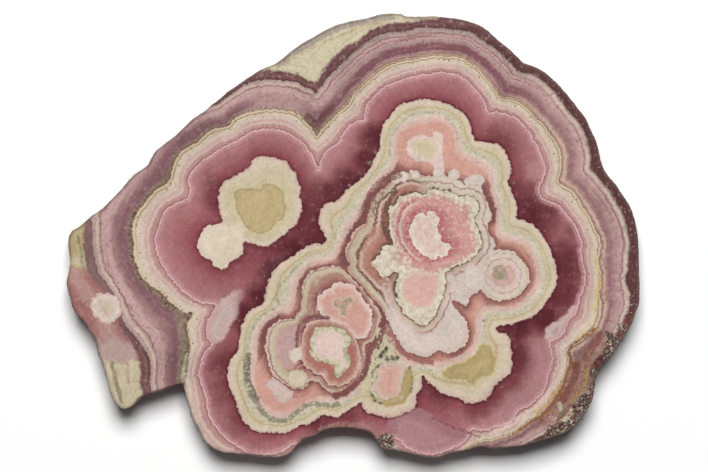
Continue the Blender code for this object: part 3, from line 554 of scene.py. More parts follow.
# Marks drawn one by one: colour, half width, strength, and one point or a line of points.  Where
# marks overlap, a place takes the one it lies deepest in.
DRAWN = [
    ("black", 0.3, 0.9, [(-26.4, 2.5)]),
    ("moss_dark", 0.4, 0.9, [(5.2, -23.2)]),
    ("moss_dark", 0.45, 1.0, [(5.3, -25.2), (6.0, -24.3), (6.9, -23.2)]),
    ("moss_dark", 0.4, 0.8, [(7.5, -21.8)]),
    ("moss_dark", 0.4, 0.9, [(6.6, -25.6), (8.0, -25.7), (9.1, -25.2)]),
    ("moss_dark", 0.3, 0.8, [(5.4, -26.6), (4.2, -27.8), (3.7, -29.4)]),
    ("moss_dark", 0.25, 0.9, [(3.3, -32.2), (4.6, -34.2), (6.0, -34.9)]),
    ("black", 0.3, 0.8, [(14.0, -24.0)]),
    ("moss_dark", 0.3, 0.8, [(27.2, -17.6)]),
    ("moss_dark", 0.35, 0.8, [(27.4, -18.6)]),
    ("black", 0.3, 0.7, [(31.6, -3.4)]),
    ("grey_green", 1.6, 0.8, [(30.6, -7.4)]),
    ("moss_dark", 0.35, 0.9, [(-46.5, -30.3)]),
    ("black", 0.45, 1.0, [(4.5, -34.2)]),
    ("black", 0.4, 0.9, [(-3.4, -35.0)]),
    ("moss", 0.5, 0.9, [(3.2, 15.6)]),
    ("moss", 0.4, 0.8, [(4.4, 18.0)]),
    ("mauve", 0.4, 0.8, [(-1.0, 11.0)]),
    ("black", 0.3, 0.8, [(4.4, 7.0)]),
    ("black", 0.3, 0.7, [(6.6, 9.2)]),
    ("moss", 0.65, 0.8, [
        (-22.6, -25.0), (-22.7, -29.0), (-22.0, -32.0), (-20.5, -34.6), (-18.8, -37.0),
        (-17.0, -38.3), (-14.0, -38.2), (-12.4, -37.0), (-10.5, -35.6), (-8.5, -34.9),
        (-5.0, -35.3), (-3.4, -35.0),
    ]),
    ("moss", 0.35, 0.6, [
        (-12.0, -6.0), (-14.0, -8.5), (-15.5, -10.0), (-16.2, -12.5), (-16.0, -14.5),
        (-19.0, -16.0), (-21.4, -19.5), (-22.0, -23.0),
    ]),
    ("green_grey", 0.3, 0.7, [
        (7.6, 17.0), (7.7, 20.0), (8.8, 22.6), (11.0, 25.0), (14.0, 26.2), (18.0, 26.0),
        (20.5, 24.0), (22.0, 21.0), (24.5, 18.5), (28.0, 16.5),
    ]),
    ("dark_brown_rose", 0.5, 0.9, [
        (-5.4, -16.9), (-9.0, -16.7), (-11.0, -18.0), (-11.8, -20.0), (-12.0, -22.8),
    ]),
    ("black", 0.26, 1.0, [(8.8, -9.2), (8.3, -10.4), (8.5, -11.6), (9.0, -12.6)]),
    ("black", 0.42, 1.0, [(8.6, -9.9)]),
    ("black", 0.42, 1.0, [(8.9, -12.0)]),
    ("pitted_grey", 0.5, 0.9, [(-50.9, -26.2), (-50.0, -30.0), (-48.8, -34.5)]),
    ("ringA_brown", 0.35, 0.7, [(-47.7, -26.6), (-47.3, -30.6)]),
    ("moss_dark", 0.8, 0.8, [(-22.2, -24.8), (-22.6, -28.0), (-22.0, -31.0), (-20.6, -33.8)]),
    ("umber", 0.5, 0.8, [(-35.8, -18.0), (-34.9, -22.0), (-35.2, -27.0), (-35.7, -30.4)]),
    ("pitted_grey", 1.1, 0.7, [(-37.0, -16.0), (-36.0, -20.0), (-35.8, -25.0), (-36.2, -30.0)]),
    ("dark_brown_rose", 1.0, 0.8, [(1.4, 3.6), (2.6, 6.4), (3.9, 9.3), (6.5, 12.2), (9.2, 13.2)]),
    ("wing_grey", 0.3, 0.9, [(-58.0, 0.2), (-57.4, -3.0), (-56.8, -6.5)]),
    ("ochre", 0.35, 0.6, [(-59.3, 1.0), (-59.0, -1.0), (-58.9, -3.0)]),
    ("wedge_grey", 0.8, 0.85, [
        (-15.6, 36.6), (-12.0, 39.2), (-8.4, 41.4), (-4.6, 43.4), (-1.6, 44.5), (3.0, 45.6),
        (8.0, 46.5),
    ]),
    ("ochre", 0.3, 0.7, [
        (-16.6, 35.4), (-12.0, 37.8), (-8.0, 40.2), (-3.0, 42.4), (2.0, 44.2), (6.0, 45.2),
    ]),
    ("lilac", 0.7, 0.25, [(-13.6, -2.6), (-16.6, -5.2), (-19.0, -8.0), (-20.4, -10.6)]),
    ("ochre_brown", 0.38, 0.95, [
        (50.4, -19.2), (48.5, -20.7), (46.5, -22.0), (45.2, -23.9), (45.6, -25.8), (44.8, -28.2),
        (44.0, -30.8), (42.7, -33.5), (40.4, -36.6), (36.9, -38.9), (33.5, -41.2),
    ]),
    ("flower", 0.6, 0.8, [
        (50.0, -16.6), (46.9, -19.7), (43.8, -23.2), (44.0, -25.8), (43.3, -29.0), (41.0, -32.4),
        (38.6, -35.2), (35.4, -37.5), (32.0, -39.7), (29.0, -41.0),
    ]),
    ("ochre_red", 0.9, 0.75, [(46.8, -26.6), (46.2, -29.5), (45.0, -32.2), (43.8, -34.2)]),
    ("ochre", 0.6, 0.85, [(48.9, -28.0), (48.6, -30.6), (47.2, -32.8), (45.8, -34.4)]),
    ("moss", 0.6, 0.6, [(47.6, -24.8), (46.8, -26.2)]),
    ("moss", 0.5, 0.6, [(50.3, -24.6), (49.4, -25.2)]),
    ("yellow", 0.45, 0.7, [
        (50.9, -4.0), (51.2, -9.0), (50.6, -14.0), (48.8, -18.6), (46.8, -21.6),
    ]),
    ("wine_inner", 1.2, 0.8, [(53.4, -24.2), (51.6, -26.4), (50.6, -28.2)]),
    ("ochre_red", 0.9, 0.7, [(57.8, -17.0), (56.4, -20.4), (54.8, -22.0)]),
    ("ringA_brown", 0.6, 0.7, [(-7.0, -40.2), (-3.0, -39.3), (1.0, -39.4), (3.4, -40.2)]),
    ("rose_inner", 0.3, 0.8, [
        (16.6, -37.8), (18.5, -38.8), (22.0, -40.2), (26.5, -42.0),
    ]),
    ("gold", 0.5, 0.75, [(43.2, -30.4), (42.2, -32.4), (40.4, -34.8), (38.4, -37.0)]),
    ("yellow", 0.4, 0.75, [(42.4, -30.2), (41.3, -32.2), (39.6, -34.4), (37.8, -36.2)]),
    ("ochre_brown", 0.4, 0.75, [(41.6, -33.6), (40.6, -34.9)]),
    ("gold", 0.35, 0.6, [(46.8, -20.0), (51.0, -14.6), (51.7, -9.0)]),
    ("complex_pale", 0.6, 0.8, [(43.2, -35.0), (43.4, -36.2)]),
    ("complex_pale", 0.7, 0.85, [(45.6, -36.4), (44.8, -37.8), (43.6, -39.0)]),
    ("complex_pale", 0.6, 0.7, [(46.8, -34.0), (48.2, -33.2), (49.2, -32.4)]),
    ("moss", 0.5, 0.7, [(44.3, -35.4), (43.0, -37.6)]),
    ("ochre_brown", 0.4, 0.7, [(48.4, -24.0), (49.4, -26.0), (48.6, -27.4)]),
    ("ochre_red", 1.0, 0.7, [(51.6, -20.6), (50.0, -23.0), (48.8, -25.0)]),
    ("wine_inner", 0.7, 0.8, [(47.8, -36.0), (45.6, -39.4), (42.0, -41.6)]),
    ("dark_brown_rose", 0.75, 0.95, [
        (6.1, -18.6), (5.4, -21.3), (3.9, -22.9), (3.0, -24.8), (2.7, -26.7), (1.9, -28.9),
        (0.4, -30.7), (-1.5, -32.3), (-4.0, -33.3),
    ]),
    ("brown_rose", 0.65, 0.9, [
        (7.1, -19.7), (8.5, -21.6), (9.5, -23.5), (11.7, -25.1), (13.8, -25.9), (16.4, -26.2),
    ]),
    ("tan_arc", 1.0, 0.85, [(11.3, -28.6), (11.0, -31.6), (9.8, -33.8), (7.0, -34.8)]),
    ("umber", 0.25, 0.8, [(11.6, -27.2), (12.3, -30.2), (11.9, -32.6)]),
    ("crust_deep", 0.9, 0.8, [(-9.7, 25.4), (-7.9, 23.6), (-6.6, 25.2), (-4.6, 27.2)]),
    ("dark_brown", 0.6, 0.85, [(8.8, 9.8), (7.1, 7.2), (6.2, 4.2), (6.6, 1.2), (7.8, -1.2)]),
    ("dark_brown", 0.4, 0.7, [(6.2, 9.4), (4.6, 7.0), (3.9, 4.6)]),
    ("salmon_brown", 1.2, 0.75, [(4.2, 1.2), (3.0, -2.0), (2.6, -5.0), (3.8, -7.4)]),
    ("lilac_cream", 1.0, 0.7, [(6.6, -9.2), (7.0, -11.4), (7.6, -13.6)]),
]

# Where the salmon zone turns to dark brown-rose beside the bodies.
DUSK_SPOTS = [
    (3, 8, 5, 1.0), (8, 14, 3, 0.6), (14, 14, 3, 0.3), (29.5, 6, 3.5, 0.9), (27.5, 10.5, 3, 0.6),
    (-19.4, -18, 4.5, 1.0), (-17, -12.6, 4, 0.9), (-12, -8.4, 3, 0.7), (0, 2, 4, 0.9),
    (-1, -4, 3, 0.8), (-19.6, -24, 2.5, 0.6), (22, -24.5, 3, 0.5), (29, -15, 3, 0.4),
    (-4, -35, 3, 0.5), (4.6, -16.6, 3, 1.0),
]
SOFT_SPOTS = {
    "dusk": DUSK_SPOTS, "wine": WINE_SPOTS, "mauve": MAUVE_SPOTS, "ochre": OCHRE_SPOTS,
    "druse": DRUSE_SPOTS,
}
SPOT_FALL = 0.8              # soft spots have a flat middle and fall off like this


def linear(*channels):
    """A colour given as sRGB 0-255, as the linear values a shader socket takes."""
    parts = [c / 255 for c in channels]
    return [p / 12.92 if p <= 0.04045 else ((p + 0.055) / 1.055) ** 2.4 for p in parts] + [1.0]


# ---------------------------------------------------------------- the stone's mesh

def spline(corners, step):
    """Points every step along a smooth closed curve through the corners."""
    corners = np.array(corners, float)
    before, after = np.roll(corners, 1, axis=0), np.roll(corners, -1, axis=0)
    beyond = np.roll(corners, -2, axis=0)
    points = []
    for a, b, c, d in zip(before, corners, after, beyond):
        pieces = max(1, round(float(np.linalg.norm(c - b)) / step))
        for u in np.arange(pieces) / pieces:
            points.append(
                b + 0.5 * u * (c - a + u * (2 * a - 5 * b + 4 * c - d + u * (3 * (b - c) + d - a)))
            )
    return np.array(points)


def inside(points, outline):
    """Which points lie inside a closed outline."""
    x, y = points.T
    within = np.zeros(len(points), bool)
    for (ax, ay), (bx, by) in zip(outline, np.roll(outline, -1, axis=0)):
        spans = (ay > y) != (by > y)
        within ^= spans & (x < (bx - ax) * (y - ay) / ((by - ay) or 1) + ax)
    return within


def nearest_on(points, curve):
    """Distance from each point to the nearest point of a curve, and that point."""
    tree = kdtree.KDTree(len(curve))
    for index, (x, y) in enumerate(curve):
        tree.insert((x, y, 0), index)
    tree.balance()
    found = [tree.find((x, y, 0)) for x, y in points]
    return np.array([f[2] for f in found]), curve[[f[1] for f in found]]


def distance_field(points, corners):
    """Distance from each point to an outline, positive inside, and the nearest outline point."""
    distance, nearest = nearest_on(points, spline(corners, FRONT_STEP))
    side = np.where(inside(points, spline(corners, CURVE_STEP)), 1, -1)
    return distance * side, nearest


def polished_rim(node):
    """The polished face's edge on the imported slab, in millimetres and in order, anticlockwise."""
    shape = bmesh.new()
    shape.from_mesh(node.data)
    bmesh.ops.remove_doubles(shape, verts=shape.verts, dist=JOIN * MM)
    top = max(vert.co.z for vert in shape.verts)
    following = {}
    for face in shape.faces:
        if face.normal.z < FLAT or abs(face.verts[0].co.z - top) > JOIN * MM:
            continue
        for loop in face.loops:
            if loop.link_loop_radial_next.face.normal.z < FLAT:
                start, end = loop.vert.co, loop.link_loop_next.vert.co
                following[(start.x, start.y)] = (end.x, end.y)
    shape.free()
    first = next(iter(following))
    rim = [first]
    while following[rim[-1]] != first:
        rim.append(following[rim[-1]])
    return np.array(rim) / MM


def outward(rim):
    """Directions away from the stone, for an anticlockwise rim."""
    along = np.roll(rim, -SMOOTHED_OVER, axis=0) - np.roll(rim, SMOOTHED_OVER, axis=0)
    across = np.stack([along[:, 1], -along[:, 0]], axis=1)
    return across / np.linalg.norm(across, axis=1)[:, None]


def druse_share(x, y):
    """How far small crystals cover the rim: 1 in the middle of the druse, 0 away from it."""
    reach = np.hypot(x - DRUSE_MIDDLE[0], y - DRUSE_MIDDLE[1]) / DRUSE_REACH
    return np.clip(1.0 - reach * reach, 0, 1)


def chipped(x, y, z):
    """Small-scale roughness of the natural rim, in millimetres, always into the stone."""
    place = Vector((x, y, z * GRAIN_SQUASH))
    grain = noise.noise(place * GRAIN_SCALE) + FINE_SHARE * noise.noise(place * FINE_SCALE)
    crystal = noise.voronoi(place * CRYSTAL_SCALE)[0][0]
    share = float(druse_share(x, y))
    plain = RIM_GRAIN * (grain + GRAIN_SHIFT) * (1 - share)
    return max(0.0, plain + share * DRUSE_GRAIN * crystal)


def rim_rows(rim, wall):
    """Rows of points down the rim, from the polished face to the sawn back."""
    away = outward(rim)
    rows = []
    for height in np.concatenate([THICK - EDGE_DEPTHS, RIM_HEIGHTS]):
        level = min(max(height, RAY_MARGIN), THICK - RAY_MARGIN) * MM
        row = []
        for (x, y), (ax, ay) in zip(rim, away):
            direction = Vector((ax, ay, 0))
            start = Vector((x * MM, y * MM, level)) - direction * RAY_START * MM
            hit = wall.ray_cast(start, direction, 2 * RAY_START * MM)[0]
            spot = hit if hit is not None else Vector((x * MM, y * MM, level))
            worn = chipped(x, y, height) if 0 < height < THICK else 0.0
            row.append((spot.x / MM - ax * worn, spot.y / MM - ay * worn, height))
        rows.append(np.array(row))
    rows[0][:, :2] = rim
    return rows


def fill(rim, step):
    """Triangles over a flat face with the given rim: all points, and the triangles' corners."""
    low, high = rim.min(axis=0), rim.max(axis=0)
    lines = []
    for number, y in enumerate(np.arange(low[1], high[1], step * ROW_GAP)):
        xs = np.arange(low[0] + (number % 2) * step / 2, high[0], step)
        lines.append(np.stack([xs, np.full(len(xs), y)], axis=1))
    grid = np.concatenate(lines)
    grid = grid[inside(grid, rim)]
    grid = grid[nearest_on(grid, rim)[0] > EDGE_CLEARANCE * step]
    corners = [Vector(point) for point in np.concatenate([rim, grid])]
    loop = [(index, (index + 1) % len(rim)) for index in range(len(rim))]
    made = geometry.delaunay_2d_cdt(corners, loop, [], 0, 1e-6, False)
    points = np.array([tuple(point) for point in made[0]])
    faces = np.array([tuple(face) for face in made[2]])
    return points, faces[inside(points[faces].mean(axis=1), rim)]


def band_place(points):
    """Where each point of the stone lies in the drawing of the bands, in millimetres."""
    depth = (THICK - points[:, 2:3]) / THICK
    return points[:, :2] + DRAWING_MIDDLE + LEAN * depth


def rim_uvs(column, row, rows):
    """The flat map of one face of the rim; the rim is cut into strips, one above the other."""
    strip, along = divmod(column, math.ceil(len(rows[0]) / RIM_STRIPS))
    corners = []
    for step, down in ((0, 1), (1, 1), (1, 0), (0, 0)):
        depth = THICK - rows[row + down][column][2]
        corners.append((
            RIM_CORNER[0] + (along + step) * RIM_SCALE * RIM_STEP,
            RIM_CORNER[1] + strip * RIM_STRIP_HEIGHT + depth * RIM_SCALE,
        ))
    return corners


def slab_uvs(faces, kinds, points, rows):
    """Flat maps of the polished face, the back and the rim, side by side on one square."""
    flat = points[:, :2] - points[:, :2].min(axis=0)
    placed = {kind: corner + flat * scale for kind, (corner, scale) in FLAT_MAPS.items()}
    uvs = []
    for face, kind in zip(faces, kinds):
        uvs += [placed[kind][index] for index in face] if kind in placed else rim_uvs(*kind, rows)
    return np.array(uvs)


def stone_mesh(node):
    """The slab with fine faces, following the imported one."""
    rim = spline(polished_rim(node), RIM_STEP)
    wall = bvhtree.BVHTree.FromObject(node, bpy.context.evaluated_depsgraph_get())
    rows = rim_rows(rim, wall)
    count = len(rim)
    top, top_faces = fill(rows[0][:, :2], TOP_STEP)
    back, back_faces = fill(rows[-1][:, :2], BACK_STEP)
    inner_top, inner_back = top[count:], back[count:]
    points = np.concatenate(
        rows
        + [np.column_stack([inner_top, np.full(len(inner_top), THICK)])]
        + [np.column_stack([inner_back, np.zeros(len(inner_back))])]
    )
    first_top = len(rows) * count
    first_back = first_top + len(inner_top)
    last_row = (len(rows) - 1) * count
    faces = [tuple(i if i < count else i - count + first_top for i in face) for face in top_faces]
    kinds = ["top"] * len(faces)
    faces += [
        tuple(last_row + i if i < count else i - count + first_back for i in reversed(face))
        for face in back_faces
    ]
    kinds += ["back"] * len(back_faces)
    for row in range(len(rows) - 1):
        for column in range(count):
            beside = (column + 1) % count
            upper, lower = row * count, (row + 1) * count
            faces.append((lower + column, lower + beside, upper + beside, upper + column))
            kinds.append((column, row))
    mesh = bpy.data.meshes.new("rhodochrosite_stone")
    mesh.from_pydata([tuple(p * MM) for p in points], [], faces)
    layer = mesh.uv_layers.new(name="OFBake")
    layer.data.foreach_set("uv", slab_uvs(faces, kinds, points, rows).ravel())
    mesh.polygons.foreach_set("use_smooth", [True] * len(faces))
    mesh.set_sharp_from_angle(angle=SHARP_ANGLE)
    return mesh, points, rows[0][:, :2]


def soft_spots(places, spots):
    """The strongest of several soft round spots at each place."""
    total = np.zeros(len(places))
    for x, y, radius, strength in spots:
        reach = np.hypot(places[:, 0] - x, places[:, 1] - y) / radius
        total = np.maximum(total, strength * np.exp(-reach ** 3 * SPOT_FALL))
    return total


def summed_spots(places, spots):
    """Soft round spots added together, each lighter or darker."""
    total = np.zeros(len(places))
    for x, y, radius, strength in spots:
        reach = np.hypot(places[:, 0] - x, places[:, 1] - y) / radius
        total += strength * np.exp(-reach * reach)
    return total


def round_field(places, discs):
    """Distance into the nearest of several discs, positive inside."""
    return np.max([r - np.hypot(places[:, 0] - x, places[:, 1] - y) for x, y, r in discs], axis=0)


def drawn_marks(places):
    """Distance into the nearest drawn mark, and that mark's colour and strength."""
    depth = np.full(len(places), -np.inf)
    paint = np.zeros((len(places), 4))
    for name, half_width, strength, line in DRAWN:
        there_and_back = line + line[-2:0:-1]
        inward = half_width - nearest_on(places, spline(there_and_back, STROKE_STEP))[0]
        nearer = inward > depth
        depth[nearer] = inward[nearer]
        paint[nearer] = (*linear(*COLOURS[name])[:3], strength)
    return depth, paint


def measured(points, rim):
    """Distances to every growth front, the soft spots and the polish, at the mesh's points.

    Also the nearest point of the front that each layer follows, and the drawn marks' colours.
    """
    places = band_place(points)
    fields, nearest = {}, {}
    for name, corners in FRONTS.items():
        fields[name], nearest[name] = distance_field(places, corners)
    fields["rings"] = np.maximum(fields["left_ring"], fields["cluster"])
    fields["bodies"] = np.maximum(fields["main_body"], fields["twin_body"])
    fields["twins"] = np.maximum(fields["twin_upper"], fields["twin_lower"])
    fields["buds"] = round_field(places, PALE_BUDS)
    fields["small_eye"] = round_field(places, [(*SMALL_EYE, SMALL_EYE_RADIUS)])
    for name, spots in SOFT_SPOTS.items():
        fields[name] = soft_spots(places, spots)
    fields["tone"] = summed_spots(places, TONE_SPOTS)
    fields["drawn"], paint = drawn_marks(places)
    fields["polish"] = (points[:, 2] > THICK - JOIN).astype(float)
    fields["edge"] = nearest_on(points[:, :2], rim)[0]
    fields["place_x"], fields["place_y"] = places.T
    front, depth = nearest["hairline"].copy(), fields["hairline"].copy()
    for name in ("left_ring", "cluster", "main_body", "twin_body", "frill"):
        within = fields[name] > -FRONT_MARGIN
        front[within] = nearest[name][within]
        depth[within] = fields[name][within]
    fields["front_depth"] = depth
    return fields, front, paint


def add_fields(mesh, points, rim):
    """Store the fields on the mesh, where the stone's material reads them."""
    fields, front, paint = measured(points, rim)
    for name, values in fields.items():
        attribute = mesh.attributes.new(name, "FLOAT", "POINT")
        attribute.data.foreach_set("value", values.astype(np.float32))
    attribute = mesh.attributes.new("paint", "FLOAT_COLOR", "POINT")
    attribute.data.foreach_set("color", paint.ravel())
    attribute = mesh.attributes.new("front_point", "FLOAT_VECTOR", "POINT")
    attribute.data.foreach_set("vector", np.column_stack([front, np.zeros(len(front))]).ravel())


# ---------------------------------------------------------------- the stone's material

class Shader:
    """Small helpers that add nodes to one material.

    A value is a plain number or a node's output.  Places are in millimetres, so a scale counts
    bumps or cells for each millimetre.
    """

    def __init__(self, material):
        self.tree = material.node_tree
        self.surface = self.tree.nodes["Principled BSDF"]

    def node(self, kind, **settings):
        """A new node with the given settings."""
        node = self.tree.nodes.new(kind)
        for name, value in settings.items():
            setattr(node, name, value)
        return node

    def feed(self, socket, value):
        """Link a node's output to a socket, or set the socket to a plain value."""
        if isinstance(value, bpy.types.NodeSocket):
            self.tree.links.new(value, socket)
        else:
            socket.default_value = value

    def field(self, name):
        """A number stored on the mesh."""
        return self.node("ShaderNodeAttribute", attribute_name=name).outputs["Fac"]

    def vector(self, name):
        """A place stored on the mesh."""
        return self.node("ShaderNodeAttribute", attribute_name=name).outputs["Vector"]

    def math(self, operation, *values, clamp=False):
        node = self.node("ShaderNodeMath", operation=operation, use_clamp=clamp)
        for socket, value in zip(node.inputs, values):
            self.feed(socket, value)
        return node.outputs[0]

    def add(self, *values):
        total = values[0]
        for value in values[1:]:
            total = self.math("ADD", total, value)
        return total

    def times(self, *values):
        total = values[0]
        for value in values[1:]:
            total = self.math("MULTIPLY", total, value)
        return total

    def centred(self, value, size):
        """A noise value moved to lie around 0, of the given size."""
        return self.math("MULTIPLY", self.math("SUBTRACT", value, 0.5), size)

    def step(self, value, low, high, out_low=0.0, out_high=1.0):
        """A smooth step: out_low at the low value and out_high at the high one."""
        node = self.node("ShaderNodeMapRange", interpolation_type="SMOOTHSTEP")
        for socket, given in zip(node.inputs, (value, low, high, out_low, out_high)):
            self.feed(socket, given)
        return node.outputs[0]

    def bell(self, value, middle, width):
        """1 at the middle, falling to 0 on both sides."""
        away = self.math("ABSOLUTE", self.math("SUBTRACT", value, middle))
        return self.step(away, 0.0, width, 1.0, 0.0)

    def noise(self, vector, scale, detail=2.0, roughness=0.5, offset=0.0):
        """Soft noise between 0 and 1.  Another offset gives another pattern."""
        node = self.node("ShaderNodeTexNoise", noise_dimensions="4D")
        self.feed(node.inputs["Vector"], vector)
        node.inputs["W"].default_value = offset
        node.inputs["Scale"].default_value = scale
        node.inputs["Detail"].default_value = detail
        node.inputs["Roughness"].default_value = roughness
        return node.outputs["Fac"]

    def cells(self, vector, scale, output="Distance"):
        """The distance from the middle of a cell, or the cell's own colour."""
        node = self.node("ShaderNodeTexVoronoi")
        self.feed(node.inputs["Vector"], vector)
        node.inputs["Scale"].default_value = scale
        return node.outputs[output]

    def stretched(self, x, y, z):
        """The place on the stone, squeezed or stretched along each axis."""
        node = self.node("ShaderNodeVectorMath", operation="MULTIPLY")
        self.feed(node.inputs[0], self.mm)
        node.inputs[1].default_value = (x, y, z)
        return node.outputs[0]

    def layer_place(self):
        """A place that changes quickly across the growth layers and slowly along them."""
        slow = self.node("ShaderNodeSeparateXYZ")
        self.feed(slow.inputs[0], self.front)
        node = self.node("ShaderNodeCombineXYZ")
        across = self.times(self.moved(self.field("front_depth")), LAYER_ACROSS)
        self.feed(node.inputs[0], across)
        self.feed(node.inputs[1], self.times(slow.outputs[0], LAYER_ALONG))
        self.feed(node.inputs[2], self.times(slow.outputs[1], LAYER_ALONG))
        return node.outputs[0]

    def ramp(self, value, stops):
        """Colours by name, each at its own value, blended from one to the next."""
        node = self.node("ShaderNodeValToRGB")
        elements = node.color_ramp.elements
        while len(elements) < len(stops):
            elements.new(1.0)
        for element, (position, name) in zip(elements, stops):
            element.position = position
            element.color = linear(*COLOURS[name])
        self.feed(node.inputs["Fac"], value)
        return node.outputs["Color"]

    def mix(self, share, below, above):
        """The second colour laid over the first; a colour is a name or a node's output."""
        node = self.node("ShaderNodeMix", data_type="RGBA")
        self.feed(node.inputs[0], share)
        self.feed(node.inputs[6], linear(*COLOURS[below]) if isinstance(below, str) else below)
        self.feed(node.inputs[7], linear(*COLOURS[above]) if isinstance(above, str) else above)
        return node.outputs[2]

    def moved(self, front, wander=None):
        """A front's distance, wandering with the tips of the crystals."""
        return self.add(front, wander or self.wander)

    def between(self, outer, inner):
        """0 at the outer front and 1 at the inner one."""
        gap = self.math("MAXIMUM", self.math("SUBTRACT", outer, inner), NARROWEST)
        return self.math("DIVIDE", self.moved(outer), gap, clamp=True)

    def outwards(self, front, reach):
        """0 on a front and 1 at the given distance outside it."""
        return self.math("MULTIPLY", self.moved(front), -1.0 / reach, clamp=True)

    def within(self, front, soft=SOFT_EDGE, wander=None):
        """1 inside a front and 0 outside it."""
        return self.step(self.moved(front, wander), -soft, soft)

    def line(self, colour, front, offset, width, tint, strength=1.0, wander=None):
        """A thin broken line along a front, offset inwards from it, in millimetres."""
        away = self.math("ABSOLUTE", self.math("SUBTRACT", self.moved(front, wander), offset))
        full = width * LINE_FULL
        share = self.times(self.step(away, full, width, strength, 0.0), self.broken)
        return self.mix(share, colour, tint)

    def patch(self, colour, name, stops, width=0.7, wander=None, soft=0.08):
        """A patch with its own bands, from its edge to a given distance inside it."""
        distance = self.field(name)
        inward = self.math("DIVIDE", self.moved(distance, wander), width, clamp=True)
        return self.mix(self.within(distance, soft, wander), colour, self.ramp(inward, stops))


# The stone's colours, as sRGB 0-255.
COLOURS = {
    "black": (40, 34, 32), "crust_line": (88, 56, 58), "crust": (128, 88, 90),
    "crust_deep": (106, 68, 70), "crust_dark": (92, 58, 56), "crust_speck": (160, 130, 122),
    "grey_cream": (178, 158, 150), "light_cream": (208, 192, 174), "cream": (210, 194, 172),
    "cream_warm": (204, 180, 150), "pinkwhite": (208, 188, 174), "pinkish": (190, 158, 152),
    "thin_brown": (146, 102, 98), "lilac_grey": (168, 142, 140), "pale_pink": (196, 162, 158),
    "dusty_pink": (186, 150, 147), "mauve": (168, 132, 130), "plum": (150, 110, 113),
    "purple": (134, 94, 100), "deep_purple": (130, 84, 91), "grey_purple": (142, 114, 110),
    "pitted_grey": (146, 132, 112), "brown": (128, 96, 78), "umber": (98, 78, 60),
    "ochre": (174, 140, 92), "ochre_brown": (142, 98, 66), "ochre_red": (124, 70, 58),
    "ochre_mauve": (146, 104, 98), "yellow": (214, 194, 128), "yellow_grey": (186, 164, 124),
    "blush": (200, 162, 155), "dusty_rose": (186, 142, 139), "deep_rose": (150, 96, 99),
    "hairline": (217, 182, 181), "bright_pink": (200, 150, 152), "under_line": (140, 82, 87),
    "rose": (170, 114, 115), "rose_pale": (176, 125, 127), "rose_mid": (158, 98, 101),
    "rose_inner": (140, 74, 80), "wine": (108, 50, 58), "wine_deep": (92, 38, 46),
    "wine_line": (122, 62, 69), "wine_inner": (82, 32, 40), "mauve_rose": (176, 129, 132),
    "foot": (162, 114, 119), "foot_pale": (174, 130, 133), "fringe": (190, 156, 144),
    "painted_glint_white": (214, 190, 184), "speck_dark": (74, 60, 50), "border_pink": (207, 182, 166),
    "complex_cream": (205, 190, 161), "green_cream": (201, 190, 160),
    "green_grey": (160, 158, 132), "moss": (126, 122, 98), "moss_dark": (78, 80, 62),
    "complex_pale": (206, 194, 174), "pink_white": (214, 188, 176), "salmon_pale": (211, 174, 160),
    "salmon": (207, 158, 144), "salmon_brown": (182, 132, 117), "brown_rose": (156, 104, 97),
    "dark_brown_rose": (124, 78, 76), "ring_cream": (211, 196, 173),
    "ring_yellow": (205, 193, 158), "tan_edge": (174, 154, 114), "tan": (192, 172, 130),
    "lilac_cream": (207, 184, 174), "beige": (190, 172, 148), "olive_beige": (176, 162, 136),
    "grey_green": (150, 142, 114), "dark_brown": (100, 72, 60), "brown_mid": (152, 104, 95),
    "frill_cream": (212, 200, 178), "disk_outer": (204, 148, 143), "disk": (188, 122, 121),
    "disk_deep": (172, 98, 100), "flower": (220, 196, 185), "pink_disk": (215, 174, 163),
    "ring_salmon": (206, 160, 147), "ring_deep": (172, 112, 101), "ringA_brown": (172, 132, 119),
    "lilac": (184, 150, 150), "lilac_edge": (200, 172, 168), "lilac_mass": (213, 197, 187),
    "wing_salmon": (182, 142, 135), "wing_rose": (160, 108, 104), "wing_cream": (200, 187, 158),
    "wing_yellow": (186, 170, 130), "wing_grey": (138, 124, 106), "wing_lilac": (182, 154, 148),
    "wedge": (207, 196, 166), "wedge_grey": (160, 148, 140), "white_bud": (216, 202, 188),
    "mauve_lens": (190, 156, 151), "tan_lens": (178, 158, 110), "yellow_rim": (206, 194, 140),
    "tan_arc": (176, 154, 108), "pink_kernel": (207, 170, 154), "rim_brown_and_edge_shade": (112, 90, 82),
    "gold": (190, 150, 86), "lilac_frost": (198, 178, 172), "blob_cream": (219, 204, 182),
    "mint": (190, 202, 180), "bead_white": (226, 216, 202),
}


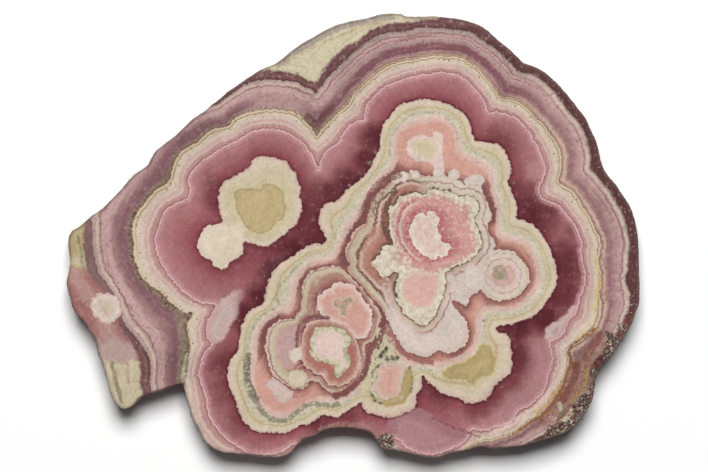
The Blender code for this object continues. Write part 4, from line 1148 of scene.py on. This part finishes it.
def wing_colours(s, outside, x, y):
    """The salmon and lilac wing outside the crust, and the cream wedge that meets it."""
    span = s.outwards(outside, 10.0)
    wing = s.ramp(span, [
        (0.0, "wing_rose"), (0.06, "wing_rose"), (0.2, "wing_salmon"), (0.36, "wing_salmon"),
        (0.5, "wing_rose"),
    ])
    ragged = s.add(y, s.centred(s.noise(s.mm, 0.5, 3), 5.0))
    wing = s.mix(s.step(s.coarse, 0.5, 0.64, 0.0, 0.5), wing, "wing_lilac")
    # Painted glints: small white dots scattered over the wing.
    wing = s.mix(s.times(s.step(s.dots, 0.15, 0.06), 0.7), wing, "painted_glint_white")
    wing = s.mix(s.step(ragged, -20.5, -23.0), wing, "wing_lilac")
    wing = s.mix(s.step(ragged, -25.0, -26.6), wing, "wing_cream")
    wing = s.mix(s.step(ragged, -8.0, -5.4), wing, "wing_yellow")
    cream = s.times(s.bell(ragged, -5.0, 1.8), s.step(x, -56.5, -58.0))
    wing = s.mix(cream, wing, "wing_cream")
    streaks = s.step(s.noise(s.stretched(1.1, 0.25, 0.6), 0.9, 3), 0.5, 0.7, 0.0, 0.6)
    wing = s.mix(s.times(streaks, s.step(ragged, -24.0, -27.0)), wing, "tan_edge")
    wedge = s.ramp(s.noise(s.layer_place(), 0.9, 3), [
        (0.3, "wedge_grey"), (0.42, "wedge"), (0.58, "wedge"), (0.7, "cream_warm"),
    ])
    return s.mix(s.step(x, -40.0, -36.0), wing, wedge)


def crust_colours(s, outside, inside_crust, x, y):
    """The speckled brown crust with painted white glints, darker to the right and faded on the
    left.
    """
    crust = s.ramp(s.between(outside, inside_crust), [
        (0.0, "crust"), (0.3, "crust_deep"), (0.6, "crust"), (0.85, "crust_deep"),
        (1.0, "crust_line"),
    ])
    crust = s.mix(s.times(s.step(x, 20.0, 50.0), 0.8), crust, "crust_dark")
    mottle = s.noise(s.mm, 1.3, 4, 0.7, 2.0)
    crust = s.mix(s.step(mottle, 0.48, 0.4, 0.0, 0.6), crust, "crust_line")
    crust = s.mix(s.step(mottle, 0.54, 0.66, 0.0, 0.8), crust, "crust_speck")
    # Painted glints: small white dots scattered over the crust.
    crust = s.mix(s.times(s.step(s.dots, 0.15, 0.07), 0.55), crust, "painted_glint_white")
    faded = s.times(s.step(x, -38.0, -44.0), s.step(y, -22.0, -12.0, 0.15, 0.6))
    return s.mix(faded, crust, "grey_purple")


def band_colours(s, span, x, y):
    """The pink, mauve and purple bands between the crust and the cream band.

    They run differently on the left, on the right and at the right-hand edge.
    """
    left = s.ramp(span, [
        (0.0, "crust_deep"), (0.03, "grey_cream"), (0.09, "pinkish"), (0.13, "light_cream"),
        (0.19, "pinkish"), (0.225, "thin_brown"), (0.25, "pale_pink"), (0.42, "pale_pink"),
        (0.52, "mauve"), (0.62, "plum"), (0.73, "purple"), (0.85, "purple"), (0.92, "pitted_grey"),
        (1.0, "brown"),
    ])
    right = s.ramp(span, [
        (0.0, "crust_dark"), (0.035, "pitted_grey"), (0.06, "lilac_grey"), (0.13, "grey_cream"),
        (0.17, "lilac_grey"), (0.21, "thin_brown"), (0.24, "pale_pink"), (0.3, "dusty_pink"),
        (0.325, "thin_brown"), (0.36, "pale_pink"), (0.43, "lilac_grey"), (0.5, "mauve"),
        (0.58, "deep_purple"), (0.74, "deep_purple"), (0.765, "crust_line"), (0.79, "plum"),
        (0.845, "plum"), (0.87, "dusty_pink"), (0.93, "brown"), (0.955, "cream_warm"),
        (1.0, "thin_brown"),
    ])
    east = s.ramp(span, [
        (0.0, "crust_dark"), (0.06, "grey_cream"), (0.12, "light_cream"), (0.2, "pale_pink"),
        (0.24, "thin_brown"), (0.28, "pale_pink"), (0.4, "dusty_pink"), (0.55, "mauve"),
        (0.68, "plum"), (0.8, "mauve"), (0.88, "cream_warm"), (0.95, "dusty_pink"), (1.0, "brown"),
    ])
    paler = s.times(s.step(x, -25.0, -19.0), s.step(x, -8.0, -12.0), s.step(y, 12.0, 20.0), 0.6)
    left = s.mix(s.times(paler, s.step(span, 0.35, 0.6)), left, "pale_pink")
    bands = s.mix(s.step(x, -14.0, 2.0), left, s.mix(s.step(x, 32.0, 42.0), right, east))
    rough = s.add(span, s.centred(s.coarse, 0.25))
    pits = s.times(s.step(s.noise(s.mm, 1.9, 4, 0.6), 0.46, 0.56), s.step(rough, 0.84, 0.95))
    pits = s.times(pits, s.step(x, 10.0, -10.0, 0.2, 0.9), s.step(y, 14.0, 2.0, 0.4, 1.0))
    bands = s.mix(pits, bands, "speck_dark")
    bands = s.mix(s.step(s.layers, 0.54, 0.68, 0.0, 0.4), bands, "grey_cream")
    bands = s.mix(s.step(s.layers, 0.46, 0.34, 0.0, 0.55), bands, "purple")
    bands = s.mix(s.step(s.coarse, 0.54, 0.66, 0.0, 0.4), bands, "pale_pink")
    return s.mix(s.step(s.coarse, 0.46, 0.36, 0.0, 0.5), bands, "deep_purple")


def outer_bands(s):
    """Colour from the rim in to the dark line outside the cream band."""
    outside = s.field("crust_outside")
    inside_crust = s.field("crust_inside")
    brown_front = s.field("brown_front")
    x, y = s.field("place_x"), s.field("place_y")
    wing = wing_colours(s, outside, x, y)
    crust = crust_colours(s, outside, inside_crust, x, y)
    colour = s.mix(s.within(outside, 0.35, s.ragged), wing, crust)
    bands = band_colours(s, s.between(inside_crust, brown_front), x, y)
    return s.mix(s.within(inside_crust), colour, bands)


def cream_band(s, colour):
    """The cream band that ends in the pink hairline."""
    brown_front = s.field("brown_front")
    hairline = s.field("hairline")
    span = s.between(brown_front, hairline)
    cream = s.ramp(span, [
        (0.0, "brown"), (0.04, "cream_warm"), (0.12, "cream"), (0.15, "brown"),
        (0.18, "yellow_grey"), (0.22, "cream"), (0.45, "pinkwhite"), (0.6, "blush"),
        (0.68, "pinkwhite"), (0.78, "dusty_rose"), (0.93, "dusty_rose"), (1.0, "deep_rose"),
    ])
    pale = s.times(s.step(s.layers, 0.5, 0.64), s.bell(span, 0.45, 0.4), 0.7)
    cream = s.mix(pale, cream, "pinkwhite")
    pink = s.times(s.step(s.layers, 0.46, 0.36), s.bell(span, 0.35, 0.3), 0.6)
    cream = s.mix(pink, cream, "pinkish")
    leftmost = s.step(s.field("place_x"), -24.0, -32.0)
    unlined = s.times(leftmost, s.step(s.field("place_y"), 8.0, -6.0))
    cream = s.mix(s.times(unlined, s.bell(span, 0.15, 0.12)), cream, "cream")
    yellow = s.times(s.step(s.field("place_x"), 38.0, 46.0), s.step(span, 0.5, 0.2))
    spots = s.step(s.noise(s.mm, 0.45, 3), 0.48, 0.6)
    cream = s.mix(s.times(yellow, spots, 0.5), cream, "cream_warm")
    specks = s.times(s.step(s.dots, 0.2, 0.12), s.step(span, 0.55, 0.3), 0.7)
    cream = s.mix(specks, cream, "speck_dark")
    return s.mix(s.within(brown_front), colour, cream)


def rose_zone(s, colour):
    """The rose and wine-red zone inside the pink hairline."""
    hairline = s.field("hairline")
    span = s.between(hairline, s.field("rings"))
    rose = s.ramp(span, [
        (0.0, "rose_pale"), (0.12, "rose_pale"), (0.3, "rose"), (0.6, "rose_mid"),
        (0.9, "rose_inner"), (1.0, "wine"),
    ])
    wine = s.ramp(span, [
        (0.0, "wine_line"), (0.15, "wine"), (0.45, "wine_deep"), (0.85, "wine_deep"),
        (1.0, "wine_inner"),
    ])
    depth = s.math("ADD", s.field("wine"), s.centred(s.noise(s.mm, 0.35, 3), 0.7), clamp=True)
    zone = s.mix(depth, rose, wine)
    cloud = s.add(s.field("mauve"), s.centred(s.noise(s.mm, 0.5, 4, 0.65, 8.0), 1.1))
    mauve = s.times(s.step(cloud, 0.25, 0.85), s.step(span, 0.85, 0.25, 0.0, 0.9))
    zone = s.mix(mauve, zone, "mauve_rose")
    frost = s.step(s.noise(s.stretched(1.0, 1.0, 0.3), 0.8, 4, 0.7, 4.0), 0.52, 0.75, 0.0, 0.3)
    zone = s.mix(frost, zone, "lilac")
    # Painted glints: sparse small white dots over the rose zone.
    sparse = s.step(s.noise(s.mm, 0.3, 2, 0.5, 9.0), 0.5, 0.6, 0.0, 0.45)
    zone = s.mix(s.times(s.step(s.dots, 0.13, 0.06), sparse), zone, "painted_glint_white")
    foot = [(0.0, "foot"), (0.5, "foot"), (1.0, "foot_pale")]
    zone = s.patch(zone, "pink_foot", foot, 3.0, s.wander, 0.3)
    plain = zone
    frosty = [(0.0, "lilac_edge"), (0.7, "lilac_edge"), (1.0, "lilac_frost")]
    zone = s.patch(zone, "lilac_left", frosty, 2.4, s.ragged, 0.4)
    zone = s.mix(s.step(s.add(s.field("place_x"), s.ragged), -26.0, -22.6, 0.0, 0.9), zone, plain)
    frosty = [(0.0, "lilac_edge"), (0.6, "lilac_frost"), (1.0, "lilac")]
    zone = s.patch(zone, "lilac_right", frosty, 1.6, s.ragged, 0.4)
    colour = s.mix(s.within(hairline), colour, zone)
    colour = s.line(colour, hairline, -0.2, 0.3, "under_line", 0.6)
    colour = s.line(colour, hairline, 0.1, 0.28, "hairline", 1.0)
    return s.line(colour, hairline, 0.5, 0.6, "bright_pink", 0.5)


def left_stalactite(s, colour):
    """The small stalactite at the left, with a tan heart."""
    ring = s.field("left_ring")
    bands = s.ramp(s.between(ring, s.field("left_heart")), [
        (0.0, "fringe"), (0.06, "border_pink"), (0.2, "ring_cream"), (0.5, "complex_cream"),
        (0.8, "ring_yellow"), (0.94, "ring_yellow"), (1.0, "tan_edge"),
    ])
    colour = s.mix(s.within(ring, wander=s.scallops), colour, bands)
    colour = s.line(colour, ring, 0.0, 0.2, "wine_line", 0.5, s.scallops)
    pale = s.step(s.add(s.field("place_x"), s.centred(s.noise(s.mm, 0.8, 3), 3.0)), -22.0, -24.0)
    blob = s.times(pale, s.within(ring, 0.1, s.scallops), s.step(s.field("place_y"), 3.6, 2.4))
    colour = s.mix(s.times(blob, 0.85), colour, "blob_cream")
    return s.patch(colour, "left_heart", [(0.0, "tan_edge"), (0.3, "tan"), (1.0, "tan")], 1.6)


def cluster_border(s, colour):
    """Cream border of the cluster, then salmon darkening towards the bodies inside."""
    border = s.field("cluster")
    salmon = s.field("salmon_front")
    span = s.between(border, salmon)
    bands = s.ramp(span, [
        (0.0, "fringe"), (0.07, "border_pink"), (0.16, "ring_cream"), (0.34, "complex_cream"),
        (0.42, "yellow_grey"), (0.46, "complex_cream"), (0.6, "green_cream"),
        (0.75, "complex_pale"), (0.9, "pink_white"), (1.0, "salmon_pale"),
    ])
    bands = s.mix(s.times(s.step(s.layers, 0.52, 0.66), 0.4), bands, "border_pink")
    flecks = s.step(s.noise(s.mm, 1.6, 4, 0.65, 6.0), 0.52, 0.62)
    bands = s.mix(s.times(flecks, s.bell(span, 0.62, 0.2), 0.75), bands, "green_grey")
    mint = s.step(s.coarse, 0.52, 0.62)
    bands = s.mix(s.times(mint, s.bell(span, 0.6, 0.2), 0.7), bands, "mint")
    beads = s.step(s.beads, 0.42, 0.3)
    bands = s.mix(s.times(beads, s.bell(span, 0.8, 0.25), 0.8), bands, "white_bud")
    colour = s.mix(s.within(border, wander=s.scallops), colour, bands)
    colour = s.line(colour, border, -0.1, 0.3, "wine_inner", 0.6, s.scallops)
    away = s.outwards(s.field("bodies"), 6.0)
    dark = s.ramp(away, [
        (0.0, "dark_brown_rose"), (0.12, "dark_brown_rose"), (0.28, "brown_rose"), (0.4, "salmon"),
        (1.0, "salmon"),
    ])
    light = s.ramp(away, [
        (0.0, "brown_rose"), (0.06, "brown_rose"), (0.14, "salmon_brown"), (0.34, "salmon"),
        (1.0, "salmon"),
    ])
    shade = s.step(s.add(s.field("dusk"), s.centred(s.coarse, 0.6)), 0.2, 0.7)
    inner = s.mix(shade, light, dark)
    inner = s.mix(s.times(s.step(s.ringed, 0.55, 0.7), 0.35), inner, "salmon_pale")
    rings = s.times(s.step(s.ringed, 0.45, 0.32), s.step(away, 0.6, 0.2), 0.5)
    inner = s.mix(rings, inner, "dark_brown_rose")
    edge = s.step(s.moved(salmon, s.ragged), 0.9, 0.2)
    inner = s.mix(s.times(edge, 0.8), inner, "pink_white")
    return s.mix(s.within(salmon, 0.3, s.scallops), colour, inner)


def main_body(s, colour):
    """The large stalactite's rings outside the frill, pale on its right, and the small eye."""
    main = s.field("main_body")
    span = s.between(main, s.field("frill"))
    bands = s.ramp(span, [
        (0.0, "salmon_pale"), (0.06, "salmon_pale"), (0.09, "brown_rose"), (0.13, "beige"),
        (0.3, "complex_cream"), (0.36, "olive_beige"), (0.41, "dark_brown"), (0.48, "brown_mid"),
        (0.54, "lilac_cream"), (0.6, "salmon_pale"), (0.66, "ringA_brown"), (0.86, "ring_deep"),
        (1.0, "dark_brown"),
    ])
    bands = s.mix(s.step(s.noise(s.mm, 1.5, 3, 0.6, 3.0), 0.5, 0.64, 0.0, 0.5), bands, "beige")
    lilac = s.times(s.step(s.ringed, 0.5, 0.6), s.bell(span, 0.22, 0.16), 0.7)
    bands = s.mix(lilac, bands, "lilac")
    pale = s.ramp(span, [
        (0.0, "ring_cream"), (0.08, "lilac_cream"), (0.16, "lilac_mass"), (0.6, "lilac_mass"),
        (0.8, "lilac_cream"), (0.93, "beige"), (1.0, "brown"),
    ])
    pale = s.mix(s.step(s.ringed, 0.5, 0.66, 0.0, 0.5), pale, "lilac_cream")
    pale = s.mix(s.step(s.field("place_y"), -4.0, 2.0, 0.0, 0.55), pale, "complex_pale")
    slant = s.math("SUBTRACT", s.field("place_x"), s.times(s.field("place_y"), 0.3))
    covered = s.within(main, wander=s.scallops)
    colour = s.mix(covered, colour, s.mix(s.step(slant, 9.0, 14.0), bands, pale))
    colour = s.line(colour, main, -0.05, 0.2, "dark_brown_rose", 0.9, s.scallops)
    eye = s.field("small_eye")
    rings = s.ramp(s.math("MULTIPLY", s.moved(eye, s.ragged), 1 / SMALL_EYE_RADIUS, clamp=True), [
        (0.0, "beige"), (0.05, "ring_cream"), (0.2, "lilac_mass"), (0.27, "pinkish"),
        (0.31, "lilac_mass"), (0.45, "pink_white"), (0.6, "blush"), (0.72, "salmon_pale"),
        (0.82, "pinkish"), (1.0, "beige"),
    ])
    return s.mix(s.within(eye, 0.12, s.scallops), colour, rings)


def main_disk(s, colour):
    """The rose disk in the large stalactite, its cream frill and its pale middle."""
    frill = s.field("frill")
    disk = s.field("rose_disk")
    bands = s.ramp(s.between(frill, disk), [
        (0.0, "frill_cream"), (0.35, "frill_cream"), (0.6, "blush"), (1.0, "disk_outer"),
    ])
    bands = s.mix(s.times(s.step(s.beads, 0.62, 0.3), 0.6), bands, "bead_white")
    bands = s.mix(s.times(s.step(s.beads, 0.6, 0.72), 0.35), bands, "tan_edge")
    colour = s.mix(s.within(frill, wander=s.scallops), colour, bands)
    right = s.add(s.field("place_x"), s.centred(s.coarse, 6.0))
    outer_frill = s.step(right, 12.0, 17.0, 0.0, 0.75)
    colour = s.line(colour, frill, -1.5, 0.28, "brown_rose", outer_frill, s.scallops)
    patchy = s.step(s.coarse, 0.44, 0.58, 0.15, 1.0)
    colour = s.line(colour, frill, -0.12, 0.25, "umber", patchy, s.scallops)
    pink = [(0.0, "frill_cream"), (0.5, "pink_disk"), (1.0, "pink_disk")]
    colour = s.patch(colour, "pink_disk", pink, 1.6, s.scallops, 0.5)
    bands = s.ramp(s.between(disk, s.field("pale_flower")), [
        (0.0, "disk"), (0.2, "disk_deep"), (0.32, "frill_cream"), (0.42, "disk_outer"),
        (0.6, "disk"), (0.85, "disk_deep"), (1.0, "disk_deep"),
    ])
    soft = s.ramp(s.between(disk, s.field("pale_flower")), [
        (0.0, "disk_outer"), (0.4, "disk_outer"), (0.7, "disk"), (1.0, "disk_deep"),
    ])
    right = s.step(s.add(s.field("place_x"), s.centred(s.coarse, 4.0)), 11.0, 15.0)
    bands = s.mix(right, bands, soft)
    sugar = s.step(s.noise(s.mm, 2.2, 3, 0.6, 12.0), 0.48, 0.62, 0.0, 0.55)
    bands = s.mix(sugar, bands, "flower")
    colour = s.mix(s.within(disk, 0.3, s.scallops), colour, bands)
    flower = [(0.0, "bead_white"), (1.0, "flower")]
    colour = s.patch(colour, "pale_flower", flower, 1.4, s.scallops)
    blush = s.times(s.within(s.field("pale_flower"), 0.6), s.step(s.coarse, 0.47, 0.6, 0.0, 0.7))
    return s.mix(blush, colour, "pink_disk")


def twin_stalactites(s, colour):
    """The two eyes that grew together, at the lower left of the large one."""
    twin = s.field("twin_body")
    bands = s.ramp(s.between(twin, s.field("twins")), [
        (0.0, "salmon_pale"), (0.06, "lilac_cream"), (0.1, "thin_brown"), (0.15, "complex_cream"),
        (0.36, "beige"), (0.45, "ringA_brown"), (0.6, "ringA_brown"), (0.85, "brown_rose"),
        (0.97, "dark_brown_rose"), (1.0, "dark_brown_rose"),
    ])
    bands = s.mix(s.step(s.ringed, 0.52, 0.66, 0.0, 0.6), bands, "lilac_cream")
    colour = s.mix(s.within(twin, wander=s.scallops), colour, bands)
    colour = s.line(colour, twin, -0.1, 0.25, "dark_brown_rose", 0.8, s.scallops)
    lens = [(0.0, "ring_salmon"), (0.4, "mauve_lens"), (1.0, "mauve_lens")]
    colour = s.patch(colour, "mauve_lens", lens, 1.2, s.ragged, 0.4)
    upper = [(0.0, "flower"), (0.12, "flower"), (0.3, "pink_disk"), (0.5, "ring_salmon"),
             (1.0, "ring_salmon")]
    colour = s.patch(colour, "twin_upper", upper, 3.0, s.scallops)
    green = [(0.0, "flower"), (0.3, "beige"), (0.6, "grey_green"), (1.0, "olive_beige")]
    colour = s.patch(colour, "flower_upper", green, 1.0, s.ragged)
    folds = s.times(s.within(s.field("flower_upper"), 0.5), s.step(s.coarse, 0.5, 0.56))
    colour = s.mix(s.times(folds, 0.8), colour, "ring_salmon")
    lower = [(0.0, "flower"), (0.1, "ring_salmon"), (0.3, "ringA_brown"), (0.45, "ring_deep"),
             (0.8, "ring_deep"), (1.0, "ring_salmon")]
    colour = s.patch(colour, "twin_lower", lower, 3.0, s.scallops)
    pale = [(0.0, "umber"), (0.08, "green_cream"), (0.5, "frill_cream"), (0.8, "flower"),
            (1.0, "flower")]
    colour = s.patch(colour, "flower_lower", pale, 1.8, s.scallops)
    core = s.field("flower_lower")
    gaps = s.times(s.within(core), s.step(core, 1.8, 0.5), s.step(s.beads, 0.56, 0.7), 0.55)
    return s.mix(gaps, colour, "grey_green")


# Small patches: how far in their bands reach, in millimetres, and the bands.
SMALL_BODIES = {
    "speckled_gap": (1.0, [(0.0, "beige"), (0.3, "complex_cream"), (1.0, "green_cream")]),
    "top_ring": (0.8, [(0.0, "blush"), (0.35, "flower"), (1.0, "flower")]),
    "top_heart": (1.6, [(0.0, "ring_cream"), (0.5, "ring_yellow"), (1.0, "wing_cream")]),
    "tan_lens": (2.8, [(0.0, "yellow_rim"), (0.2, "tan_edge"), (0.4, "tan_lens"), (1.0, "tan")]),
    "tan_arc": (0.5, [(0.0, "tan_edge"), (1.0, "tan_arc")]),
    "pink_kernel": (2.6, [
        (0.0, "olive_beige"), (0.08, "lilac_cream"), (0.4, "pink_kernel"), (1.0, "salmon"),
    ]),
    "lilac_blob": (0.8, [(0.0, "lilac_edge"), (1.0, "lilac_cream")]),
    "cream_knob": (0.6, [(0.0, "beige"), (1.0, "ring_cream")]),
    "white_bud": (0.5, [(0.0, "lilac_cream"), (1.0, "white_bud")]),
    "wing_flower": (2.4, [
        (0.0, "blush"), (0.25, "white_bud"), (0.7, "lilac_cream"), (1.0, "wing_cream"),
    ]),
}


def small_bodies(s, colour):
    """The kernels, lenses and buds in and round the cluster."""
    for name, (width, stops) in SMALL_BODIES.items():
        colour = s.patch(colour, name, stops, width, s.scallops)
    bud = [(0.0, "pinkish"), (0.12, "lilac_mass"), (1.0, "white_bud")]
    return s.patch(colour, "buds", bud, 1.4, s.times(s.scallops, 0.4))


def stained_corner(s, colour):
    """Ochre stain and salt-and-pepper crystals at the lower right."""
    blotches = s.add(s.noise(s.mm, 0.38, 5, 0.62, 40.0), s.centred(s.layers, 0.35))
    ochre = s.ramp(blotches, [
        (0.34, "ochre_red"), (0.41, "ochre_brown"), (0.45, "ochre_mauve"), (0.5, "plum"),
        (0.53, "ochre_mauve"), (0.57, "ochre"), (0.6, "ochre_mauve"), (0.66, "mauve"),
        (0.72, "cream_warm"),
    ])
    stain = s.add(s.field("ochre"), s.centred(s.noise(s.mm, 0.6, 3, 0.6, 3.0), 1.0))
    share = s.times(s.step(stain, 0.3, 0.75), s.step(s.field("brown_front"), 0.5, -0.3))
    ochre = s.mix(s.step(s.coarse, 0.5, 0.66, 0.0, 0.7), ochre, "ochre_mauve")
    ochre = s.mix(s.step(s.coarse, 0.45, 0.38, 0.0, 0.8), ochre, "ochre_red")
    return s.mix(s.times(share, 0.8), colour, ochre)


def hand_drawn(s, colour):
    """Strokes and small marks at their own places, and the crystals of the corner."""
    paint = s.node("ShaderNodeAttribute", attribute_name="paint")
    drawn = s.step(s.add(s.field("drawn"), s.times(s.ragged, 0.75)), -0.1, 0.25)
    solid = s.add(s.coarse, s.times(paint.outputs["Alpha"], 0.3))
    mottled = s.times(drawn, paint.outputs["Alpha"], s.step(solid, 0.65, 0.74, 0.25, 1.0))
    colour = s.mix(mottled, colour, paint.outputs["Color"])
    gap = s.times(s.within(s.field("speckled_gap")), s.step(s.coarse, 0.58, 0.66, 0.0, 0.8))
    colour = s.mix(gap, colour, "moss_dark")
    crystals = s.ramp(s.noise(s.mm, 2.1, 5, 0.8, 30.0), [
        (0.4, "black"), (0.46, "crust_dark"), (0.5, "crust_dark"), (0.53, "moss"),
        (0.56, "pitted_grey"), (0.61, "bead_white"),
    ])
    return s.mix(s.druse, colour, crystals)


def shared_patterns(s):
    """The places and noises that several layers use."""
    scaled = s.node("ShaderNodeVectorMath", operation="SCALE")
    s.feed(scaled.inputs[0], s.node("ShaderNodeTexCoord").outputs["Object"])
    scaled.inputs["Scale"].default_value = 1 / MM
    s.mm = scaled.outputs[0]
    s.front = s.vector("front_point")
    s.dots = s.cells(s.mm, 0.8)
    s.beads = s.cells(s.mm, 1.1)
    tips = s.centred(s.noise(s.front, 1.5, 3, 0.6), 1.3)
    s.grain = s.noise(s.mm, 2.6, 3, 0.65)
    s.coarse = s.noise(s.mm, 1.2, 4, 0.7, 15.0)
    s.wander = s.add(tips, s.centred(s.grain, 0.45))
    beads = s.math("MULTIPLY", s.math("SUBTRACT", 0.42, s.cells(s.mm, 1.05)), 0.65)
    s.scallops = s.add(beads, s.centred(s.grain, 0.35))
    s.ragged = s.centred(s.noise(s.mm, 1.0, 4, 0.7), 2.2)
    s.broken = s.step(s.noise(s.mm, 0.9, 3, 0.6, 20.0), 0.3, 0.5, 0.5, 1.0)
    s.layers = s.noise(s.layer_place(), 1.0, 4, 0.65)
    s.ringed = s.noise(s.layer_place(), 1.6, 3, 0.6, 5.0)
    s.druse = s.step(s.add(s.field("druse"), s.centred(s.coarse, 1.4)), 0.35, 0.6)


def surface_of(s, colour):
    """The stone's surface: polished on top, rough and dull on the rim, the back and the druse."""
    brightness = s.add(
        STONE_BRIGHTNESS, s.field("tone"), s.centred(s.grain, 0.36), s.centred(s.layers, 0.36),
        s.centred(s.ringed, 0.2), s.centred(s.cells(s.mm, 2.7, "Color"), 0.16),
        s.centred(s.cells(s.mm, 1.3, "Color"), 0.1), s.centred(s.noise(s.mm, 0.2, 2), 0.2),
        s.centred(s.noise(s.front, 2.4, 2), 0.24),
    )
    shaded = s.node("ShaderNodeVectorMath", operation="SCALE")
    s.feed(shaded.inputs[0], colour)
    s.feed(shaded.inputs["Scale"], brightness)
    s.feed(s.surface.inputs["Base Color"], shaded.outputs[0])
    dull = s.math("MAXIMUM", s.druse, s.math("SUBTRACT", 1.0, s.field("polish")))
    roughness = s.step(dull, 0.0, 1.0, POLISH_ROUGHNESS, ROUGH_ROUGHNESS)
    s.feed(s.surface.inputs["Roughness"], s.add(roughness, s.centred(s.grain, 0.1)))
    s.surface.inputs["Specular IOR Level"].default_value = 0.2
    relief = s.node("ShaderNodeBump")
    relief.inputs["Distance"].default_value = RELIEF
    s.feed(relief.inputs["Strength"], s.step(dull, 0.0, 1.0, 0.02, 0.7))
    s.feed(relief.inputs["Height"], s.add(s.coarse, s.times(s.cells(s.mm, 1.6), 0.8)))
    s.feed(s.surface.inputs["Normal"], relief.outputs[0])


def stone_material():
    """The whole stone, one layer over the other from the rim inwards.

    Nodes are made in this order on purpose: a shader this long renders black when too many
    values wait for each other.
    """
    material = bpy.data.materials.new("rhodochrosite")
    material.use_nodes = True
    s = Shader(material)
    shared_patterns(s)
    colour = outer_bands(s)
    for layer in (cream_band, rose_zone, left_stalactite, cluster_border, main_body, main_disk,
                  twin_stalactites, small_bodies, stained_corner, hand_drawn):
        colour = layer(s, colour)
    # Painted shade: rim brown is laid in a thin band along the polished face's edge to darken it
    # there; on the natural rim itself the brown is the rim's own colour.
    edge = s.step(s.add(s.field("edge"), s.times(s.ragged, 0.5)), -0.2, 0.7, 0.75, 0.0)
    surface_of(s, s.mix(edge, colour, "rim_brown_and_edge_shade"))
    return material


# ---------------------------------------------------------------- floor, light and camera

def build_floor():
    mesh = bpy.data.meshes.new("floor")
    corners = [(-1, -1), (1, -1), (1, 1), (-1, 1)]
    mesh.from_pydata([(x * FLOOR_HALF, y * FLOOR_HALF, 0) for x, y in corners], [], [(0, 1, 2, 3)])
    floor = bpy.data.objects.new("floor", mesh)
    bpy.context.scene.collection.objects.link(floor)
    material = bpy.data.materials.new("floor")
    material.use_nodes = True
    surface = material.node_tree.nodes["Principled BSDF"]
    surface.inputs["Base Color"].default_value = FLOOR_WHITE
    surface.inputs["Roughness"].default_value = 0.9
    surface.inputs["Specular IOR Level"].default_value = 0.0
    mesh.materials.append(material)


def add_light(name, toward, distance, size, power):
    """A soft square light looking at the stone from the given direction."""
    data = bpy.data.lights.new(name, "AREA")
    data.size = size
    data.energy = power
    light = bpy.data.objects.new(name, data)
    direction = Vector(toward).normalized()
    light.location = direction * distance
    light.rotation_euler = direction.to_track_quat("Z", "Y").to_euler()
    bpy.context.scene.collection.objects.link(light)


def build_light():
    world = bpy.data.worlds.new("studio")
    world.use_nodes = True
    background = world.node_tree.nodes["Background"]
    background.inputs["Color"].default_value = (1.0, 1.0, 1.0, 1.0)
    background.inputs["Strength"].default_value = WORLD_STRENGTH
    bpy.context.scene.world = world
    add_light("key", KEY_TOWARD, KEY_DISTANCE, KEY_SIZE, KEY_POWER)


def build_camera():
    data = bpy.data.cameras.new("camera")
    data.lens = CAMERA_LENS
    data.sensor_width = CAMERA_SENSOR
    data.clip_end = CAMERA_END
    camera = bpy.data.objects.new("camera", data)
    distance = PHOTO_WIDTH * CAMERA_LENS / CAMERA_SENSOR
    camera.location = (PHOTO_MIDDLE[0] * MM, PHOTO_MIDDLE[1] * MM, (THICK + distance) * MM)
    bpy.context.scene.collection.objects.link(camera)
    bpy.context.scene.camera = camera


build_camera()
build_light()
build_floor()
mesh, points, rim = stone_mesh(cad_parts[NODE])
add_fields(mesh, points, rim)
mesh.materials.append(stone_material())
stone = bpy.data.objects.new("rhodochrosite_stone", mesh)
bpy.context.scene.collection.objects.link(stone)
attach(stone, "root")
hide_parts(NODE)
bpy.context.scene.view_settings.view_transform = "Standard"
